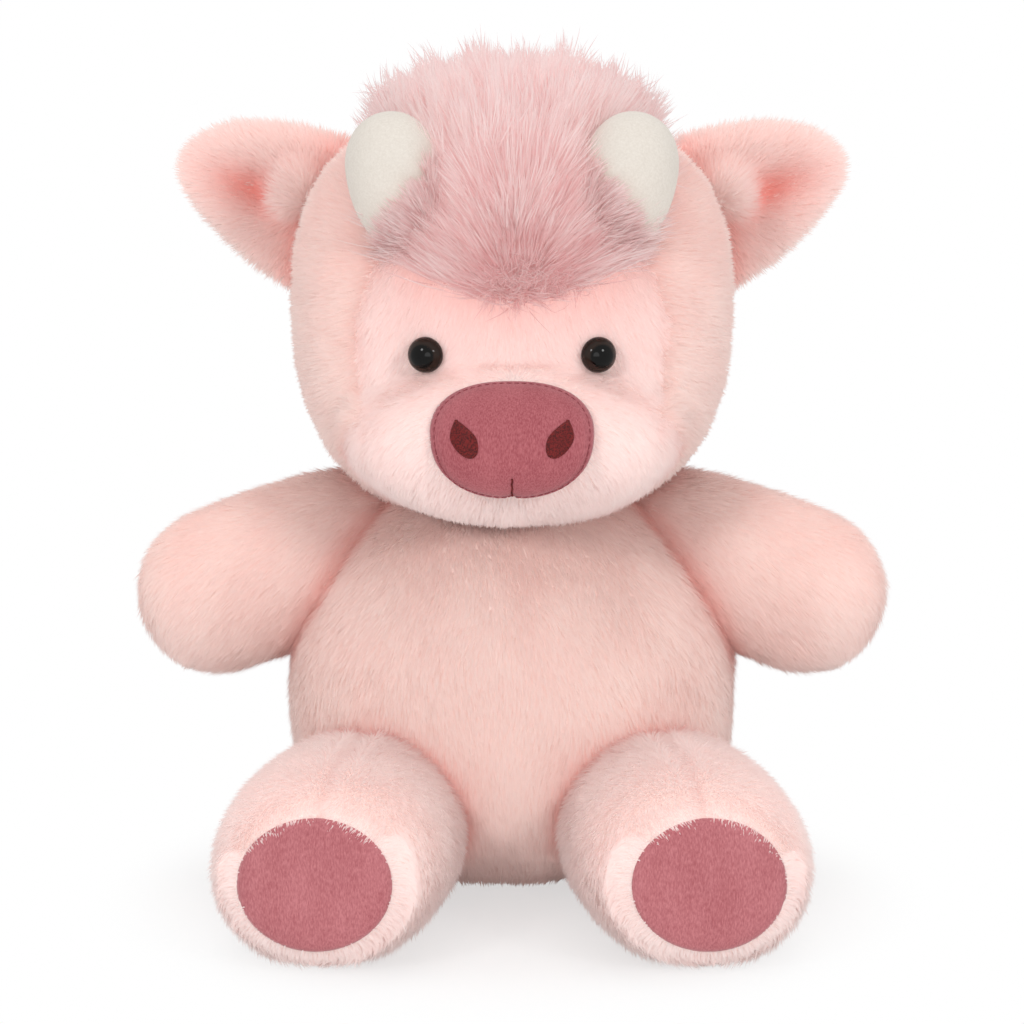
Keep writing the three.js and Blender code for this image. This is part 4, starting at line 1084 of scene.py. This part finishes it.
def nose_stitches(length=1.9, gap=0.55):
    """Short stitches round the nose pad, each arched out of it."""
    edge = nose_outline(np.linspace(0, 2 * math.pi, 240, endpoint=False)) * NOSE_STITCH
    closed = np.concatenate([edge, edge[:1]])
    run = np.concatenate([[0], np.cumsum(np.linalg.norm(np.diff(closed, axis=0), axis=1))])
    arch = np.array([-0.16, 0.14, 0.2, 0.14, -0.16])
    count = int(round(run[-1] / (length + gap)))
    lines = []
    for i in range(count):
        start = i * (run[-1] / count)
        at = np.linspace(start, start + length, len(arch))
        lines.append(on_nose(np.stack([np.interp(at, run, closed[:, k]) for k in range(2)], -1), arch))
    return lines


def nostril_threads(sign):
    """Satin stitch across a drop that points up and out."""
    tilt, half_wide, half_tall, place = math.radians(24), 4.15, 6.1, np.array([15.6, 1.2])
    up = np.array([math.sin(tilt), math.cos(tilt)])
    across = np.array([math.cos(tilt), -math.sin(tilt)])
    slant = unit(across + up * 0.32)
    arch = 0.55 * np.sqrt(np.maximum(0, 1 - np.linspace(-0.98, 0.98, 7) ** 2)) - 0.05
    lines = []
    for t in np.linspace(-0.97, 0.99, 40):
        half = half_wide * (math.sqrt(1 - t * t) if t < 0 else (1 - t ** 1.5) ** 0.9)
        ends = np.linspace(-1, 1, 7)[:, None] * max(half, 0.35) * slant
        lines.append(on_nose((place + up * t * half_tall + ends) * np.array([sign, 1]), arch))
    return lines


def mouth_stitch():
    heights = np.linspace(-18.6, -11.0, 12)
    return [on_nose(np.stack([0.12 * np.sin(heights * 2), heights], -1), 0.12)]


def sole_pad(side):
    turn, centre = turn_to(LEGS[side]["out"]), sole_centre(LEGS[side])

    def outline(angle):
        return np.stack([PAD_WIDE * np.cos(angle), PAD_TALL * np.sin(angle)], -1)

    def height(share, flat):
        return 3.0 * np.sqrt(np.maximum(0, 1 - share ** 3)) - 1.8

    def place(flat, rise):
        return np.column_stack([flat, rise]) @ turn.T + centre

    return crowned_pad(f"foot_pad_{side}_suede", outline, place, height, sole_suede, depth=4.0)


def eye_piece(side, rings=12, sides=40):
    """A domed safety eye, sunk in the pile."""
    spot, out = place_on_head(SIDES[side] * EYE_X, EYE_Z)
    angles = 2 * math.pi * np.arange(sides) / sides
    circle = np.stack([np.cos(angles), np.sin(angles)], -1) * EYE_RADIUS
    points, share = [np.array([[0, 0, EYE_RISE]])], [np.zeros(1)]
    for angle in math.pi / 2 * np.arange(1, rings + 1) / rings:
        points.append(np.column_stack([circle * math.sin(angle), np.full(sides, EYE_RISE * math.cos(angle))]))
        share.append(np.full(sides, math.sin(angle)))
    points.append(np.column_stack([circle * 0.9, np.full(sides, -1.5)]))
    share = np.concatenate([*share, np.ones(sides)])
    base = 1 + rings * sides
    faces = cap_faces(rings, sides) + [tuple(range(base, base + sides))[::-1]]
    local = np.concatenate(points) - np.array([0, 0, EYE_SINK])
    obj = new_object(f"eye_{side}_dome", local @ turn_to(out).T + spot, faces, finish=eye_gloss)
    across = share[corners_of(obj)]
    rows = np.stack([across, np.full(len(across), 0.5)], -1)
    obj.data.uv_layers.new(name="EyeMap").data.foreach_set("uv", rows.astype(np.float32).ravel())
    return obj


def grow_tail():
    """The tail's tube with its pile, and the tuft with its hair."""
    ways, quads = even_ball(12)
    skin = new_object("tail_skin", egg(TAIL, ways, -2.0), quads, finish=pink_backing)
    p, n = surface_of(skin)
    ones = np.ones(len(p))
    marks = along_skin(TAIL_OUT, n), outside_share(egg_distance(BODY, p), 6.0), ones * 0.8, ones * 0.87
    pile = grow_pile("tail_pile", skin, quads, face_strand, pink_pile, marks, density=2.6, seed=81)
    knot = new_object("tail_tuft_skin", egg(TUFT, ways, -6.5), quads, finish=rose_backing)
    p, n = surface_of(knot)
    along = (p - np.array(TUFT["centre"])) @ TAIL_OUT
    length = np.clip(0.95 - along / 40, 0.45, 1.0)
    marks = along_skin(TAIL_OUT, n), ones, length, 0.5 + 0.2 * smooth_noise(p, 10, 5)
    hair = grow_pile("tail_tuft_hair", knot, quads, tuft_strand, rose_hair, marks,
                     density=3.2, seed=83, style=TUFT_HAIR)
    return [skin, pile], [knot, hair]


# The stage, in metres: lamps as place, size and power, and what they and the camera look at
AMBIENT = 0.7
LAMPS = {"key": ((-0.75, -1.15, 0.85), 0.3, 3.2), "fill": ((0.85, -1.15, 0.75), 0.3, 3.3),
         "low": ((0.0, -1.45, 0.15), 0.8, 3.2), "top": ((0.0, 0.2, 1.6), 1.0, 5.0)}
LAMP_AIM, CAMERA_AIM = 0.14, 0.130
CAMERA_PLACE, CAMERA_LENS, CAMERA_SENSOR = (0, -1.284, 0.3334), 127.98, 36.0
FLOOR_WIDE, FLOOR_DEEP = 9.0, 30.0
SHADOW_BACK, SHADOW_WIDE, SHADOW_DEEP, SHADOW_SHARE = 0.035, 0.12, 0.135, 0.4
WHITE = (1, 1, 1, 1)


def seen_rays(flow):
    """1 for what the camera sees, straight, mirrored or through glass."""
    rays = flow.node("ShaderNodeLightPath")
    seen = rays + rays.beside("Is Glossy Ray") + rays.beside("Is Transmission Ray")
    return seen.maths("MINIMUM", seen, 1.0)


def build_floor():
    """A white floor that keeps the soft shadow under the toy and runs out to plain white."""
    wide, deep = FLOOR_WIDE / MM, FLOOR_DEEP / MM
    corners = [(-wide, -wide, 0), (wide, -wide, 0), (wide, deep, 0), (-wide, deep, 0)]
    floor = new_object("floor", corners, [(0, 1, 2, 3)])
    material, shader, flow = new_material("floor_white")
    feed(shader, {"Base Color": (0.97, 0.97, 0.97, 1), "Roughness": 1.0, "Specular IOR Level": 0.0})
    place = flow.node("ShaderNodeTexCoord").beside("Object")
    spot = place.vector("ADD", place, (0, SHADOW_BACK, 0))
    spot = spot.vector("MULTIPLY", spot, (1 / SHADOW_WIDE, 1 / SHADOW_DEEP, 0))
    radius = spot.vector("LENGTH", spot).beside("Value")
    glow = flow.node("ShaderNodeEmission", inputs={"Color": WHITE, "Strength": 1.0})
    factor = (1 - SHADOW_SHARE + SHADOW_SHARE * radius.smooth(0.7, 1.25)) * seen_rays(flow)
    mix_at_end(flow, shader, factor, glow, "Material Output")
    floor.data.materials.append(material)


def build_world():
    """Soft light from all round, and plain white behind the toy."""
    scene.world = bpy.data.worlds.new("studio")
    scene.world.use_nodes = True
    flow = Flow(scene.world.node_tree)
    light = flow.tree.nodes["Background"]
    feed(light, {"Color": WHITE, "Strength": AMBIENT})
    white = flow.node("ShaderNodeBackground", inputs={"Color": WHITE, "Strength": 1.0})
    mix_at_end(flow, light, seen_rays(flow), white, "World Output")


def aimed(name, data, place, height):
    """An object that looks from a place at the toy's middle, at a height."""
    obj = add_object(name, data)
    obj.location = place
    obj.rotation_mode = "QUATERNION"
    obj.rotation_quaternion = (Vector((0, 0, height)) - Vector(place)).to_track_quat("-Z", "Y")
    return obj


def lamp(name, place, size, power):
    data = bpy.data.lights.new(name, "AREA")
    data.shape = "DISK"
    data.size = size
    data.energy = power
    aimed(name, data, place, LAMP_AIM)


def build_camera():
    data = bpy.data.cameras.new("camera")
    data.lens = CAMERA_LENS
    data.sensor_width = CAMERA_SENSOR
    scene.camera = aimed("camera", data, CAMERA_PLACE, CAMERA_AIM)


# The toy
HORNS = {"left": horn_form(), "right": mirror(horn_form())}
horns = {side: horn_piece(side) for side in SIDES}
ears = {side: ear_skin(side) for side in SIDES}
lock_ways, lock_quads = even_ball(28)
lock_skin = new_object("forelock_skin", ball(FORELOCK, lock_ways, -11.5), lock_quads, finish=rose_backing)

body_piles = grow_body()
head_piles = grow_head()
arm_piles = {"left": grow_arm("left", 51), "right": grow_arm("right", 52)}
leg_piles = {"left": grow_leg("left", 53), "right": grow_leg("right", 54)}
ear_piles = {"left": grow_ear(ears["left"], "left", 55), "right": grow_ear(ears["right"], "right", 57)}
forelock_hair = [*grow_forelock(lock_skin), grow_over_horn("left", 65), grow_over_horn("right", 66)]
tail_pieces, tuft_pieces = grow_tail()

nose_pad = crowned_pad("nose_pad_suede", nose_outline, nose_place, nose_height, rose_suede)
nose_thread = thread_piece("nose_topstitch", nose_stitches(), 0.2, rose_thread)
mouth_thread = thread_piece("mouth_line", mouth_stitch(), 0.3, maroon_thread)
nostrils = {side: thread_piece(f"nostril_{side}_satin", nostril_threads(sign), 0.27, maroon_thread)
            for side, sign in SIDES.items()}
eyes = {side: eye_piece(side) for side in SIDES}
soles = {side: sole_pad(side) for side in SIDES}

for strand in (short_strand, face_strand, ear_strand, hair_strand, curl_strand, tuft_strand):
    bpy.data.objects.remove(strand)

# How the pieces move, and the imported parts that they replace, which are hidden
for piece in [*body_piles, body_skin]:
    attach(piece, "torso")
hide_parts("seat_panel", "body_stuffing", "bean_bag")
for piece, node in zip(body_piles[1:], ("body_front_panel", "body_back_left_panel", "body_back_right_panel")):
    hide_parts(node)

for piece in [*head_piles, head_skin, lock_skin, *forelock_hair, nose_pad, nose_thread, mouth_thread,
              *horns.values(), *nostrils.values(), *eyes.values()]:
    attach(piece, "head")
for piece, node, slot in zip(head_piles, ("face_panel", "muzzle_panel", "head_left_panel", "head_right_panel",
                                          "head_back_panel"),
                             ("pale_pile", "pale_pile", "pink_pile", "pink_pile", "pink_pile")):
    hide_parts(node)
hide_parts("head_stuffing")
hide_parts("forelock")
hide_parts("nose_pad")
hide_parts("mouth_stitch")

for side, sign in SIDES.items():
    flip = np.array([sign, 1, 1]) * MM
    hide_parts(f"horn_{side}", f"horn_{side}_stuffing")
    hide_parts(f"nostril_{side}")
    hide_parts(f"eye_{side}", f"eye_washer_{side}")

    start, end = (EAR_ROOT + np.outer(EAR_BEND, EAR_FRAME[0])) * flip
    for piece, slot in zip((ears[side], *ear_piles[side]), ("pink_pile", "ear_lining", "pink_pile")):
        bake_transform(piece, "head", f"ear_{side}", start=tuple(start), end=tuple(end))
    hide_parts(f"ear_{side}_lining")
    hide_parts(f"ear_{side}_back")

    arm, arm_pile, leg, leg_pile = arm_skins[side], arm_piles[side], leg_skins[side], leg_piles[side]
    for limb, pieces, root, bend, out in (("arm", (arm, arm_pile), SHOULDER, ARM_BEND, ARM["out"]),
                                          ("leg", (leg, leg_pile), HIP, LEG_BEND, LEG["out"])):
        start, end = (root + np.outer(bend, out)) * flip
        for piece in pieces:
            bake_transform(piece, "torso", f"{limb}_{side}", start=tuple(start), end=tuple(end))
        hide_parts(f"{limb}_{side}_stuffing")
    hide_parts(f"arm_{side}_front_panel", f"arm_{side}_back_panel")
    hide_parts(f"leg_{side}_tube")
    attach(soles[side], f"leg_{side}")
    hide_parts(f"foot_pad_{side}")

start, end = (TAIL_ROOT + np.outer(TAIL_BEND, TAIL_OUT)) * MM
for piece in tail_pieces:
    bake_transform(piece, "torso", "tail", start=tuple(start), end=tuple(end))
for piece in tuft_pieces:
    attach(piece, "tail")
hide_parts("tail_tube")
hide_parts("tail_tuft")

stuffed = [((body_skin,), 0.8), ((head_skin,), 0.85), (arm_skins.values(), 0.7), (leg_skins.values(), 0.75),
           ((lock_skin,), 0.7), ((nose_pad,), 0.5), (horns.values(), 0.8), (ears.values(), 0.4),
           (soles.values(), 0.5), ((tail_pieces[0], tuft_pieces[0]), 0.6)]
for pieces, fill in stuffed:
    for piece in pieces:
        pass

# Light passes between strands, so the pile throws no shadow of its own; the cloth under it does
for piece in [*body_piles, *head_piles, *arm_piles.values(), *leg_piles.values(), *ear_piles["left"],
              *ear_piles["right"], *forelock_hair, tail_pieces[1], tuft_pieces[1]]:
    piece.visible_shadow = False

build_floor()
build_world()
for name, (place, size, power) in LAMPS.items():
    lamp(name, place, size, power)
build_camera()
scene.view_settings.view_transform = "Standard"
